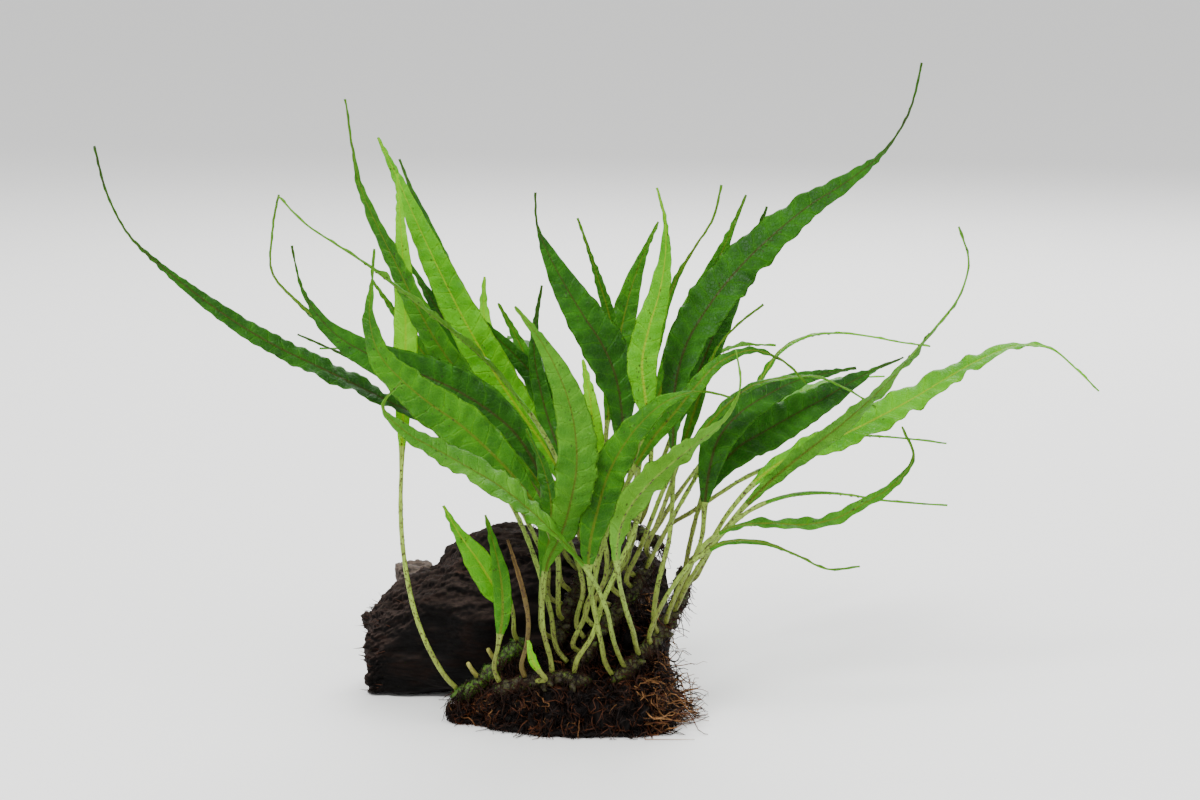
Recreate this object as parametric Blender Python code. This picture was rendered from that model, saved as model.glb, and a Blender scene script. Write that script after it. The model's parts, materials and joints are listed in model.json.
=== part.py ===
"""Java fern on driftwood: fronds grown from creeping rhizomes that cling to the front and top of a small log.

X runs to the right, Y to the back and Z up. The origin is the middle of the log's flat seat.
The design is written in millimetres from the foot of the crown, and made in metres.
"""

import math
from dataclasses import dataclass

import bmesh
import bpy
import numpy as np
from mathutils import Vector
from mathutils.kdtree import KDTree

MM = 0.001
CROWN_FROM_SEAT = (32.0, -20.0)  # where the foot of the crown stands, from the middle of the seat
FIT_GAP = 0.3  # air between pieces that touch in life

LOG_LEFT = -87.0
LOG_RIGHT = 25.0
LOG_RINGS = 17
LOG_SIDES = 18
LOG_MIDDLE_DEPTH = 20.0
LOG_MIDDLE_HEIGHT = 0.42  # as a share of the height of its top edge
LOG_LUMPS = 0.12  # the most that the log's lumps stand out, as a share of its depth
LOG_END_TEETH = 5.0  # how far the torn end is in and out
FORK_SIDES = 10
FORK_RADIUS = 12.0
RHIZOME_RADIUS = 2.5
RHIZOME_RINGS = 9
RHIZOME_SIDES = 8
RHIZOME_END = 0.72  # the radius at its ends, as a share of the rest
RHIZOME_KNOBS = 0.10  # how much its knobs stand out, as a share of its radius
STALK_RADIUS = 1.05
THREAD_RADIUS = 0.45
WIDEST_AT = 0.42  # where a blade is widest, as a share of its length
RIB_HALF_WIDTH = 0.9
RIB_RISE = 0.55  # over the midrib's middle surface, and half as much again below it
EDGE_LIFT = 0.10  # how far a blade's edges are lifted, as a share of its half width
FOOT_LENGTH = 4.5  # each stalk leaves its rhizome straight for this far
RING_SPACING = 12.5
FEWEST_RINGS = 6
MOST_RINGS = 15
STATIONS = 34  # places along a frond where its clearance is looked at
CLEARANCE = 3.2  # least distance between two neighbours' middle surfaces
CLEARANCE_STEP = 3.6  # how far apart the places are that are looked at across a blade
HOLD_LENGTH = 14.0  # a stalk stands firm in its rhizome and gives way to its neighbours past this far
SPREAD_ROUNDS = 90

MAT_LEFT = -54.0
MAT_RIGHT = 38.0
MAT_SECTIONS = 27
MAT_COLUMNS = 11
MAT_REACH = 3.4  # how far to each side of a stem the felt stays below it
MAT_UNDER = 0.7  # air between the felt and the stems above it
MAT_LEAST = 1.2  # the felt's least height
STEMS_BELOW = 60.0  # stems above this height are clear of the felt
STEM_STEP = 2.0

FRONT = (0.0, -1.0, 0.0)
UP = (0.0, 0.0, 1.0)
LEFT = (-1.0, 0.0, 0.0)
RIGHT = (1.0, 0.0, 0.0)
FRONT_UP = (0.0, -0.8, 0.6)
FRONT_LEFT = (-0.6, -0.8, 0.1)
FRONT_RIGHT = (0.6, -0.8, 0.1)
BACK_DOWN = (0.0, 0.8, -0.6)
BACK_UP = (0.0, 0.6, 0.8)
LEFT_UP = (-0.6, -0.2, 0.8)

LEAF_GREEN = (0.09, 0.25, 0.02)
DARK_GREEN = (0.03, 0.10, 0.01)
BRIGHT_GREEN = (0.16, 0.42, 0.03)
PALE_GREEN = (0.20, 0.36, 0.10)
YELLOW_GREEN = (0.34, 0.50, 0.03)
DRY_BROWN = (0.17, 0.11, 0.04)
WOOD_BROWN = (0.05, 0.032, 0.024)
RHIZOME_BROWN = (0.10, 0.11, 0.03)
ROOT_BROWN = (0.06, 0.025, 0.012)


@dataclass(frozen=True)
class Frond:
    """One frond, stalk and blade grown as one piece, from its rhizome to the tip of its thread."""

    name: str
    rhizome: str
    along: float
    width: float
    blade_from: float
    thread: float
    facing: tuple
    colour: tuple
    route: tuple


# Each creeping rhizome's middle line, from its old end to its growing tip.
RHIZOMES = {
    "rhizome_left": ((-53, -25, 8), (-44, -27, 14), (-35, -25, 22), (-27, -21, 29)),
    "rhizome_front": ((-38, -35, 14), (-27, -37, 17), (-15, -38, 19), (-3, -38, 18)),
    "rhizome_centre": ((-16, -24, 26), (-12, -19, 37), (-7, -13, 48), (-1, -6, 58), (9, -3, 66)),
    "rhizome_right": ((4, -36, 17), (13, -32, 24), (22, -26, 33), (29, -15, 43), (30, -3, 51)),
    "rhizome_middle": ((-10, -31, 20), (-3, -27, 29), (5, -22, 38), (13, -16, 47), (19, -8, 56)),
    "rhizome_back": ((-24, 36, 61), (-8, 38, 62), (8, 38, 58), (24, 34, 50)),
}

FRONDS = (
    # Long fronds that arch to the left.
    Frond("frond_left_01", "rhizome_centre", 0.56, 9.5, 0.22, 0.22, (UP, FRONT), DARK_GREEN,
          ((-15, -10, 65), (-30, -6, 87), (-55, -8, 102), (-90, -12, 121), (-125, -15, 140), (-160, -13, 167),
           (-172, -10, 183), (-178, -7, 204))),
    Frond("frond_left_02", "rhizome_middle", 0.03, 5.0, 0.36, 0.30, (FRONT_UP, FRONT), LEAF_GREEN,
          ((-18, -26, 42), (-28, -10, 68), (-42, 4, 88), (-60, 10, 107), (-80, 15, 120), (-110, 30, 142),
           (-122, 37, 155), (-120, 50, 181))),
    Frond("frond_left_03", "rhizome_centre", 0.40, 16.0, 0.22, 0.12, (FRONT_UP, FRONT_LEFT), DARK_GREEN,
          ((-15, -20, 60), (-18, -20, 80), (-30, -23, 104), (-52, -26, 121), (-75, -26, 130), (-93, -24, 140),
           (-104, -20, 154), (-108, -17, 170))),
    Frond("frond_left_04", "rhizome_centre", 0.20, 16.0, 0.24, 0.08, (FRONT_UP, FRONT_LEFT), LEAF_GREEN,
          ((-15, -31, 46), (-15, -33, 62), (-25, -37, 85), (-45, -42, 108), (-65, -45, 124), (-78, -46, 142),
           (-77, -43, 172))),
    Frond("frond_left_05", "rhizome_centre", 0.30, 6.0, 0.38, 0.20, (FRONT_UP, FRONT_UP), DARK_GREEN,
          ((-18, -15, 52), (-27, -5, 70), (-38, 9, 88), (-50, 20, 102), (-70, 28, 113), (-90, 38, 120),
           (-114, 52, 128))),
    Frond("frond_left_06", "rhizome_centre", 0.72, 8.0, 0.26, 0.18, (UP, LEFT_UP), PALE_GREEN,
          ((-9, -8, 76), (-20, -8, 101), (-37, -13, 125), (-55, -21, 143), (-80, -32, 165), (-100, -41, 180),
           (-109, -44, 190))),
    Frond("frond_left_07", "rhizome_middle", 0.23, 10.5, 0.22, 0.10, (FRONT, FRONT_LEFT), LEAF_GREEN,
          ((-6, -20, 48), (-14, -4, 68), (-28, 4, 90), (-45, 0, 114), (-60, -5, 137), (-75, -6, 168),
           (-85, -4, 190), (-90, 0, 220))),
    Frond("frond_left_08", "rhizome_left", 0.12, 9.0, 0.44, 0.03, (FRONT, FRONT), YELLOW_GREEN,
          ((-57, -30, 20), (-66, -25, 40), (-71, -15, 67), (-71, -5, 98), (-70, 5, 140), (-73, 15, 192))),
    Frond("frond_left_09", "rhizome_middle", 0.33, 14.5, 0.22, 0.02, (FRONT, FRONT), BRIGHT_GREEN,
          ((-1, -18, 54), (-8, -3, 73), (-20, 9, 93), (-35, 14, 114), (-50, 16, 140), (-65, 22, 170),
           (-75, 27, 192), (-81, 30, 204))),
    Frond("frond_left_10", "rhizome_back", 0.10, 9.5, 0.28, 0.06, (FRONT, FRONT_UP), DARK_GREEN,
          ((-26, 30, 82), (-37, 29, 100), (-48, 30, 120), (-60, 33, 140), (-71, 36, 158))),
    Frond("frond_left_11", "rhizome_back", 0.02, 6.0, 0.38, 0.08, (FRONT_UP, FRONT), LEAF_GREEN,
          ((-34, 32, 80), (-50, 26, 104), (-65, 25, 125), (-84, 29, 152))),
    # Leaves in front of the crown.
    Frond("frond_front_01", "rhizome_right", 0.12, 14.5, 0.28, 0.10, (UP, FRONT_UP), PALE_GREEN,
          ((5, -46, 34), (0, -52, 54), (-14, -55, 74), (-32, -60, 91), (-52, -63, 104), (-68, -64, 114),
           (-74, -62, 122), (-67, -58, 129))),
    Frond("frond_front_02", "rhizome_front", 0.62, 15.5, 0.24, 0.05, (FRONT_RIGHT, FRONT), PALE_GREEN,
          ((-20, -44, 40), (-19, -42, 60), (-12, -45, 78), (-8, -49, 96), (-10, -51, 118), (-18, -51, 138),
           (-29, -49, 153))),
    Frond("frond_front_03", "rhizome_right", 0.03, 13.5, 0.28, 0.12, (FRONT_UP, FRONT_UP), LEAF_GREEN,
          ((0, -44, 36), (-4, -45, 60), (-1, -46, 84), (8, -47, 104), (19, -47, 117), (31, -46, 123),
           (45, -45, 121))),
    Frond("frond_front_04", "rhizome_right", 0.24, 10.5, 0.30, 0.14, (BACK_DOWN, LEFT), PALE_GREEN,
          ((12, -44, 36), (7, -54, 56), (6, -60, 76), (13, -62, 90), (25, -62, 102), (37, -61, 112),
           (47, -59, 122), (46, -55, 139))),
    Frond("frond_front_05", "rhizome_middle", 0.13, 6.5, 0.42, 0.16, (FRONT_UP, FRONT_UP), LEAF_GREEN,
          ((-4, -33, 44), (0, -31, 62), (7, -30, 82), (17, -33, 102), (28, -35, 116), (40, -33, 130),
           (52, -31, 135), (64, -29, 131),
           (72, -28, 123))),
    Frond("frond_front_06", "rhizome_centre", 0.64, 8.0, 0.36, 0.05, (FRONT, FRONT), YELLOW_GREEN,
          ((0, -17, 74), (-2, -24, 94), (-3, -28, 114), (-6, -26, 131))),
    # Small and young leaves low at the front left.
    Frond("frond_young_01", "rhizome_left", 0.92, 11.0, 0.24, 0.12, (FRONT, FRONT), BRIGHT_GREEN,
          ((-30, -32, 40), (-37, -37, 52), (-43, -37, 62), (-49, -35, 70), (-55, -32, 80))),
    Frond("frond_young_02", "rhizome_front", 0.10, 7.0, 0.26, 0.10, (FRONT, FRONT), LEAF_GREEN,
          ((-36, -42, 30), (-34, -44, 44), (-35, -43, 60), (-40, -38, 78))),
    Frond("frond_young_03", "rhizome_front", 0.36, 2.4, 0.55, 0.30, (FRONT, FRONT), DRY_BROWN,
          ((-26, -44, 30), (-25, -47, 44), (-28, -48, 58), (-32, -46, 71))),
    Frond("frond_young_04", "rhizome_front", 0.50, 3.6, 0.42, 0.06, (FRONT, FRONT), YELLOW_GREEN,
          ((-19, -47, 21), (-23, -50, 28), (-25, -50, 36))),
    Frond("frond_young_05", "rhizome_centre", 0.06, 9.5, 0.30, 0.08, (FRONT, FRONT_LEFT), LEAF_GREEN,
          ((-21, -28, 40), (-20, -28, 56), (-17, -28, 74), (-19, -27, 90), (-26, -24, 106))),
    # Tall leaves in the middle.
    Frond("frond_middle_01", "rhizome_centre", 0.84, 16.5, 0.24, 0.12, (FRONT_RIGHT, FRONT), DARK_GREEN,
          ((4, -12, 76), (8, -10, 96), (7, -8, 114), (3, -7, 129), (-5, -6, 142), (-14, -4, 157),
           (-22, -2, 174), (-23, -1, 187))),
    Frond("frond_middle_02", "rhizome_middle", 0.61, 6.0, 0.36, 0.10, (FRONT, FRONT), LEAF_GREEN,
          ((11, -17, 60), (8, -5, 84), (5, 7, 114), (4, 8, 138), (-1, 8, 156), (-8, 7, 177))),
    Frond("frond_middle_03", "rhizome_middle", 0.43, 7.5, 0.32, 0.08, (FRONT, FRONT), DARK_GREEN,
          ((3, -19, 58), (-5, -10, 76), (-14, 1, 92), (-20, 8, 108), (-24, 10, 130), (-21, 12, 152))),
    Frond("frond_middle_04", "rhizome_back", 0.30, 7.0, 0.34, 0.08, (FRONT, FRONT), LEAF_GREEN,
          ((-16, 32, 82), (-21, 34, 100), (-28, 39, 122), (-38, 44, 141))),
    Frond("frond_middle_05", "rhizome_back", 0.20, 9.5, 0.30, 0.06, (FRONT, FRONT), YELLOW_GREEN,
          ((-26, 42, 84), (-36, 48, 102), (-41, 54, 118), (-44, 60, 133), (-44, 66, 148))),
    Frond("frond_middle_06", "rhizome_front", 0.82, 11.0, 0.46, 0.10, (FRONT_RIGHT, FRONT_LEFT), BRIGHT_GREEN,
          ((-4, -43, 32), (2, -39, 50), (12, -35, 72), (18, -30, 96), (16, -24, 116), (15, -20, 132),
           (22, -17, 158), (23, -15, 178), (20, -14, 190))),
    Frond("frond_middle_07", "rhizome_middle", 0.79, 4.4, 0.46, 0.36, (FRONT, FRONT), LEAF_GREEN,
          ((13, -10, 68), (14, -2, 86), (17, 0, 108), (20, -3, 132), (25, -5, 152), (33, -6, 167),
           (41, -5, 180),
           (43, -4, 190))),
    # Leaves that lean and arch to the right.
    Frond("frond_right_01", "rhizome_right", 0.42, 17.5, 0.26, 0.18, (FRONT_LEFT, FRONT_UP), DARK_GREEN,
          ((18, -38, 44), (24, -33, 66), (26, -24, 92), (26, -14, 114), (30, -6, 132), (39, 1, 146),
           (53, 7, 162), (73, 13, 179), (95, 19, 193), (110, 25, 208), (117, 31, 231))),
    Frond("frond_right_02", "rhizome_right", 0.68, 13.0, 0.28, 0.06, (FRONT_UP, FRONT_UP), DARK_GREEN,
          ((29, -26, 48), (36, -24, 66), (38, -19, 86), (44, -11, 103), (58, -3, 113), (73, 4, 119),
           (93, 10, 122))),
    Frond("frond_right_03", "rhizome_right", 0.88, 16.5, 0.20, 0.10, (FRONT_UP, FRONT_UP), DARK_GREEN,
          ((31, -14, 56), (36, -10, 76), (46, -4, 92), (62, 4, 101), (81, 12, 110), (97, 20, 118),
           (112, 28, 123))),
    Frond("frond_right_04", "rhizome_right", 0.77, 8.0, 0.22, 0.16, (FRONT, RIGHT), PALE_GREEN,
          ((32, -26, 50), (41, -29, 67), (55, -32, 84), (69, -36, 98), (84, -40, 111), (97, -43, 124),
           (110, -45, 139), (122, -47, 155), (126, -47, 166), (122, -46, 180))),
    Frond("frond_right_05", "rhizome_right", 0.97, 14.5, 0.20, 0.14, (FRONT_UP, UP), BRIGHT_GREEN,
          ((36, -16, 58), (48, -16, 77), (63, -14, 91), (85, -10, 100), (108, -6, 111), (131, -2, 124),
           (148, 2, 131), (163, 6, 130), (182, 14, 113))),
    Frond("frond_right_06", "rhizome_back", 0.96, 6.0, 0.34, 0.40, (UP, UP), LEAF_GREEN,
          ((36, 28, 66), (56, 32, 78), (75, 36, 85), (94, 40, 91), (112, 44, 90), (131, 48, 87))),
    Frond("frond_right_07", "rhizome_right", 0.50, 6.6, 0.26, 0.10, (UP, FRONT_UP), LEAF_GREEN,
          ((29, -36, 54), (38, -42, 70), (52, -43, 76), (69, -42, 75), (84, -41, 78), (97, -40, 86),
           (107, -39, 93), (109, -37, 102), (105, -36, 109))),
    Frond("frond_right_08", "rhizome_right", 0.34, 3.6, 0.38, 0.40, (UP, FRONT_UP), LEAF_GREEN,
          ((22, -43, 48), (33, -50, 65), (47, -52, 72), (62, -51, 69), (76, -50, 63), (84, -49, 59),
           (90, -48, 62))),
    Frond("frond_right_09", "rhizome_right", 0.60, 3.6, 0.40, 0.50, (UP, UP), LEAF_GREEN,
          ((34, -34, 58), (47, -35, 75), (61, -34, 83), (80, -33, 85), (100, -32, 82), (122, -31, 80))),
    Frond("frond_right_10", "rhizome_middle", 0.97, 5.0, 0.38, 0.40, (FRONT_UP, FRONT_UP), LEAF_GREEN,
          ((23, -6, 74), (32, -2, 102), (38, -6, 122), (44, -9, 136), (58, -9, 148))),
    Frond("frond_right_11", "rhizome_middle", 0.88, 4.2, 0.36, 0.30, (UP, UP), BRIGHT_GREEN,
          ((24, -6, 66), (38, 6, 88), (51, 10, 108), (60, 14, 119), (68, 18, 129), (81, 22, 133),
           (95, 26, 132), (110, 28, 129), (122, 30, 127))),
    Frond("frond_right_12", "rhizome_middle", 0.70, 4.6, 0.36, 0.24, (FRONT_UP, UP), LEAF_GREEN,
          ((16, -18, 66), (26, -18, 90), (39, -19, 107), (52, -17, 119), (68, -16, 123), (81, -15, 122),
           (98, -14, 112))),
    # Leaves behind the crown.
    Frond("frond_back_01", "rhizome_back", 0.62, 9.0, 0.30, 0.08, (FRONT, FRONT), LEAF_GREEN,
          ((12, 30, 82), (22, 26, 110), (32, 22, 138), (42, 20, 158), (53, 20, 184))),
    Frond("frond_back_02", "rhizome_back", 0.76, 10.5, 0.28, 0.06, (FRONT, FRONT), DARK_GREEN,
          ((22, 34, 80), (33, 32, 108), (44, 31, 136), (54, 29, 160), (61, 27, 179))),
    Frond("frond_back_03", "rhizome_back", 0.06, 13.5, 0.24, 0.08, (FRONT, FRONT), DARK_GREEN,
          ((-32, 48, 80), (-42, 58, 102), (-52, 70, 126), (-62, 81, 150), (-71, 90, 173), (-78, 97, 190))),
    Frond("frond_back_04", "rhizome_back", 0.16, 13.5, 0.24, 0.10, (UP, UP), LEAF_GREEN,
          ((-28, 56, 76), (-46, 70, 94), (-68, 80, 108), (-90, 88, 116), (-110, 94, 116))),
    Frond("frond_back_05", "rhizome_back", 0.40, 13.0, 0.24, 0.10, (BACK_UP, BACK_UP), DARK_GREEN,
          ((-12, 52, 80), (-18, 70, 100), (-26, 90, 114), (-34, 110, 118), (-40, 126, 112))),
    Frond("frond_back_06", "rhizome_back", 0.70, 13.5, 0.24, 0.10, (BACK_UP, BACK_UP), LEAF_GREEN,
          ((14, 50, 76), (24, 66, 96), (38, 84, 110), (54, 100, 116), (70, 114, 114))),
    Frond("frond_back_07", "rhizome_back", 0.88, 12.5, 0.24, 0.12, (UP, UP), BRIGHT_GREEN,
          ((28, 44, 66), (44, 54, 84), (66, 62, 98), (88, 70, 107), (110, 76, 108))),
    Frond("frond_back_08", "rhizome_back", 0.28, 11.0, 0.26, 0.10, (BACK_UP, BACK_UP), BRIGHT_GREEN,
          ((-18, 54, 66), (-26, 74, 74), (-36, 94, 72), (-44, 112, 62))),
    Frond("frond_back_09", "rhizome_back", 0.52, 11.0, 0.28, 0.08, (FRONT, FRONT), LEAF_GREEN,
          ((2, 40, 84), (4, 46, 106), (8, 52, 130), (14, 56, 152), (22, 58, 170))),
    Frond("frond_back_10", "rhizome_middle", 0.52, 10.0, 0.28, 0.08, (FRONT, FRONT), DARK_GREEN,
          ((7, -9, 64), (1, 7, 80), (-12, 17, 102), (-28, 19, 122), (-42, 20, 136), (-54, 22, 150))),
)


def smooth(value):
    """Ease 0..1 in and out."""
    value = min(max(value, 0.0), 1.0)
    return value * value * (3.0 - 2.0 * value)


def unit(vector):
    """The vector at length one."""
    return vector / np.linalg.norm(vector, axis=-1, keepdims=True)


def curve_through(points, count):
    """Places at even steps along a smooth curve through the points."""
    points = np.asarray(points, float)
    ends = np.vstack([2 * points[0] - points[1], points, 2 * points[-1] - points[-2]])
    fine = []
    for i in range(1, len(ends) - 2):
        p0, p1, p2, p3 = ends[i - 1 : i + 3]
        for step in range(16):
            t = step / 16
            fine.append(0.5 * (2 * p1 + (p2 - p0) * t + (2 * p0 - 5 * p1 + 4 * p2 - p3) * t**2
                               + (3 * p1 - p0 - 3 * p2 + p3) * t**3))
    fine = np.vstack([fine, points[-1]])
    reach = np.concatenate([[0], np.cumsum(np.linalg.norm(np.diff(fine, axis=0), axis=1))])
    wanted = np.linspace(0, reach[-1], count)
    return np.column_stack([np.interp(wanted, reach, fine[:, axis]) for axis in range(3)])


def length_of(line):
    """How long a line of points is."""
    return float(np.linalg.norm(np.diff(line, axis=0), axis=1).sum())


def tangents_of(line):
    """The direction of travel at each point of a line."""
    return unit(np.gradient(line, axis=0))


def rhizome_point(name, along):
    """A place on a rhizome's middle line, and its direction there."""
    line = curve_through(RHIZOMES[name], 41)
    index = along * 40
    place = np.array([np.interp(index, range(41), line[:, axis]) for axis in range(3)])
    return place, tangents_of(line)[int(round(index))]


def frond_line(frond):
    """A frond's middle line: it leaves its rhizome square on, just clear of it, and follows its route."""
    place, direction = rhizome_point(frond.rhizome, frond.along)
    outward = np.array(frond.route[0]) - place
    outward = unit(outward - direction * outward.dot(direction))
    foot = place + outward * (RHIZOME_RADIUS * 1.12 + FIT_GAP)
    return curve_through([foot, foot + outward * FOOT_LENGTH, *frond.route], STATIONS)


def half_width(frond, along):
    """Half of the frond's width: a round stalk, then a long blade, then a thread at the tip."""
    stalk = STALK_RADIUS * (1.15 - 0.35 * along)
    if along < frond.blade_from:
        return stalk
    blade = (along - frond.blade_from) / (1 - frond.blade_from)
    share = min(blade / (1 - frond.thread), 1.0)
    if share < WIDEST_AT:
        swell = smooth(share / WIDEST_AT) ** 0.85
    else:
        swell = 1 - ((share - WIDEST_AT) / (1 - WIDEST_AT)) ** 1.45
    edge = stalk * (1 - smooth(share)) + THREAD_RADIUS * smooth(share)
    return edge + max(frond.width / 2 - edge, 0) * swell


def facings(frond, line):
    """The upper side's direction and the way across the blade, at each point of the line."""
    forward = tangents_of(line)
    low, high = (np.array(direction) for direction in frond.facing)
    along = np.linspace(0, 1, len(line))
    turn = np.clip((along - frond.blade_from * 0.6) / (1 - frond.blade_from * 0.6), 0, 1)[:, None]
    wanted = unit(low * (1 - turn) + high * turn)
    upper = wanted - forward * np.sum(wanted * forward, axis=1, keepdims=True)
    for i in range(len(upper)):
        if np.linalg.norm(upper[i]) < 0.25 and i:
            upper[i] = upper[i - 1] - forward[i] * upper[i - 1].dot(forward[i])
    upper = unit(upper)
    for _ in range(3):
        upper[1:-1] = unit(upper[:-2] + 2 * upper[1:-1] + upper[2:])
    upper = unit(upper - forward * np.sum(upper * forward, axis=1, keepdims=True))
    return upper, np.cross(forward, upper)


def firmness(line):
    """How freely a frond gives way at each station: not at its foot, and fully past the hold length."""
    step = length_of(line) / (STATIONS - 1)
    return np.array([smooth((i * step - FOOT_LENGTH) / HOLD_LENGTH) for i in range(STATIONS)])[:, None]


def places_on(frond, line):
    """Places all over a frond, a few across its blade at each station, each with its station."""
    across = facings(frond, line)[1]
    for i in range(STATIONS):
        half = half_width(frond, i / (STATIONS - 1))
        count = math.ceil(2 * (half - STALK_RADIUS) / CLEARANCE_STEP) + 2
        offsets = np.linspace(-half, half, count) if half > STALK_RADIUS * 1.2 else (0.0,)
        for offset in offsets:
            yield line[i] + across[i] * offset, i


def spread_apart(lines):
    """Lean neighbouring fronds away from each other, each to its own side, until air shows between them."""
    depths = [line[:, 1].copy() for line in lines]
    holds = [firmness(line) for line in lines]
    for _ in range(SPREAD_ROUNDS):
        places, owners = [], []
        for number, (frond, line) in enumerate(zip(FRONDS, lines)):
            for place, i in places_on(frond, line):
                places.append(place)
                owners.append((number, i))
        tree = KDTree(len(places))
        for index, place in enumerate(places):
            tree.insert(place, index)
        tree.balance()
        moves = [np.zeros((STATIONS, 3)) for _ in lines]
        touching = 0
        for index, place in enumerate(places):
            number, i = owners[index]
            for _, other, gap in tree.find_range(place, CLEARANCE):
                owner, j = owners[other]
                if owner == number:
                    continue
                side = depths[number][i] - depths[owner][j]
                side = side or number - owner
                away = (place - places[other]) * (0.5, 0.25, 0.5)
                away[1] = abs(away[1]) * math.copysign(1, side) + math.copysign(0.8, side)
                push = unit(away) * (CLEARANCE - gap) * 0.5
                if np.linalg.norm(push) > np.linalg.norm(moves[number][i]):
                    moves[number][i] = push
                touching += 1
        if not touching:
            break
        for line, move, hold in zip(lines, moves, holds):
            move = move * hold
            for _ in range(6):
                move[1:-1] = (move[:-2] + 2 * move[1:-1] + move[2:]) / 4
                move[-1] = move[-2]
            line += move * 1.6
    return lines


def metres(points):
    """Crown millimetres as metres from the middle of the seat."""
    shift = np.array([CROWN_FROM_SEAT[0], CROWN_FROM_SEAT[1], 0.0])
    return (np.asarray(points, float) + shift) * MM


def dress(piece, colour, roughness):
    """Give a piece its own plain finish."""
    material = bpy.data.materials.new(piece.name)
    material.use_nodes = True
    shader = material.node_tree.nodes["Principled BSDF"]
    shader.inputs["Base Color"].default_value = (*colour, 1.0)
    shader.inputs["Roughness"].default_value = roughness
    shader.inputs["Metallic"].default_value = 0.0
    piece.data.materials.append(material)


def loft(name, rings, colour, roughness):
    """One closed piece skinned over rings that each hold the same number of points."""
    sides = len(rings[0])
    points = metres(np.concatenate(rings))
    faces = [tuple(reversed(range(sides)))]
    for ring in range(len(rings) - 1):
        for side in range(sides):
            after = (side + 1) % sides
            low, high = ring * sides, (ring + 1) * sides
            faces.append((low + side, low + after, high + after, high + side))
    last = (len(rings) - 1) * sides
    faces.append(tuple(last + side for side in range(sides)))
    mesh = bpy.data.meshes.new(name)
    mesh.from_pydata([Vector(point) for point in points], [], faces)
    shell = bmesh.new()
    shell.from_mesh(mesh)
    bmesh.ops.recalc_face_normals(shell, faces=shell.faces)
    shell.to_mesh(mesh)
    shell.free()
    mesh.shade_smooth()
    piece = bpy.data.objects.new(name, mesh)
    bpy.context.collection.objects.link(piece)
    dress(piece, colour, roughness)
    return piece


def frond_ring(half, centre, across, upper):
    """A six-sided section: round on the stalk, flat with a midrib and lifted edges on the blade."""
    flat = smooth((half - STALK_RADIUS) / 2.0)
    rib_out = half * math.cos(math.radians(60)) * (1 - flat) + RIB_HALF_WIDTH * flat
    rib_up = half * math.sin(math.radians(60)) * (1 - flat) + min(RIB_RISE, half) * flat
    rib_down = -rib_up * (1 + 0.5 * flat)
    lift = EDGE_LIFT * half * flat
    shape = ((-half, lift), (-rib_out, rib_down), (rib_out, rib_down),
             (half, lift), (rib_out, rib_up), (-rib_out, rib_up))
    return [centre + across * side + upper * rise for side, rise in shape]


def make_frond(frond, line):
    """One frond, from its foot to its tip."""
    whole = length_of(line)
    count = min(max(round(whole / RING_SPACING) + 1, FEWEST_RINGS), MOST_RINGS)
    upper, across = facings(frond, line)
    rings = []
    for along in (0.0, *np.linspace(FOOT_LENGTH / whole, 1, count)):
        place, rise, side = (np.array([np.interp(along * (STATIONS - 1), range(STATIONS), values[:, axis])
                                       for axis in range(3)]) for values in (line, upper, across))
        rings.append(frond_ring(half_width(frond, along), place, unit(side), unit(rise)))
    return loft(frond.name, rings, frond.colour, 0.45)


def make_rhizome(name):
    """A knobbly creeping stem, thinner at both ends."""
    line = curve_through(RHIZOMES[name], RHIZOME_RINGS)
    forward = tangents_of(line)
    side = unit(np.cross(forward, np.array(UP)))
    top = np.cross(side, forward)
    rings = []
    for i, centre in enumerate(line):
        end = RHIZOME_END if i in (0, RHIZOME_RINGS - 1) else 1.0
        radius = RHIZOME_RADIUS * end * (1 + RHIZOME_KNOBS * math.sin(2.1 * i + len(name)))
        ring = []
        for k in range(RHIZOME_SIDES):
            angle = math.tau * k / RHIZOME_SIDES
            ring.append(centre + radius * (side[i] * math.cos(angle) - top[i] * math.sin(angle)))
        rings.append(ring)
    return loft(name, rings, RHIZOME_BROWN, 0.75)


def log_top(x):
    """The height of the log's top edge at each place along it."""
    places = (-90, -86, -76, -64, -54, -46, -36, 0, 14, 25)
    heights = (20, 29, 37, 44, 53, 58, 59, 57, 52, 42)
    return float(np.interp(x, places, heights))


def log_half_depth(x):
    """Half of the log's depth at each place along it."""
    return float(np.interp(x, (-90, -70, -45, -20, 5, 18, 25), (16, 21, 26, 30, 30, 25, 16)))


def make_log():
    """The main log, broken at its left end and flat where it rests."""
    rings = []
    for i in range(LOG_RINGS):
        x = LOG_LEFT + (LOG_RIGHT - LOG_LEFT) * i / (LOG_RINGS - 1)
        top = log_top(x)
        middle = top * LOG_MIDDLE_HEIGHT
        ring = []
        for k in range(LOG_SIDES):
            angle = math.tau * k / LOG_SIDES
            bump = 1 + 0.07 * math.sin(3 * angle + 0.10 * x) + 0.05 * math.sin(5 * angle - 0.17 * x)
            split = LOG_END_TEETH * math.sin(2.4 * k) if i == 0 else 0.0
            across = LOG_MIDDLE_DEPTH - log_half_depth(x) * bump * math.cos(angle)
            height = middle + (top - middle) * bump * math.sin(angle)
            ring.append(np.array([x + split, across, max(height, 0.0)]))
        rings.append(ring)
    return loft("driftwood_log", rings, WOOD_BROWN, 0.85)


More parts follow.
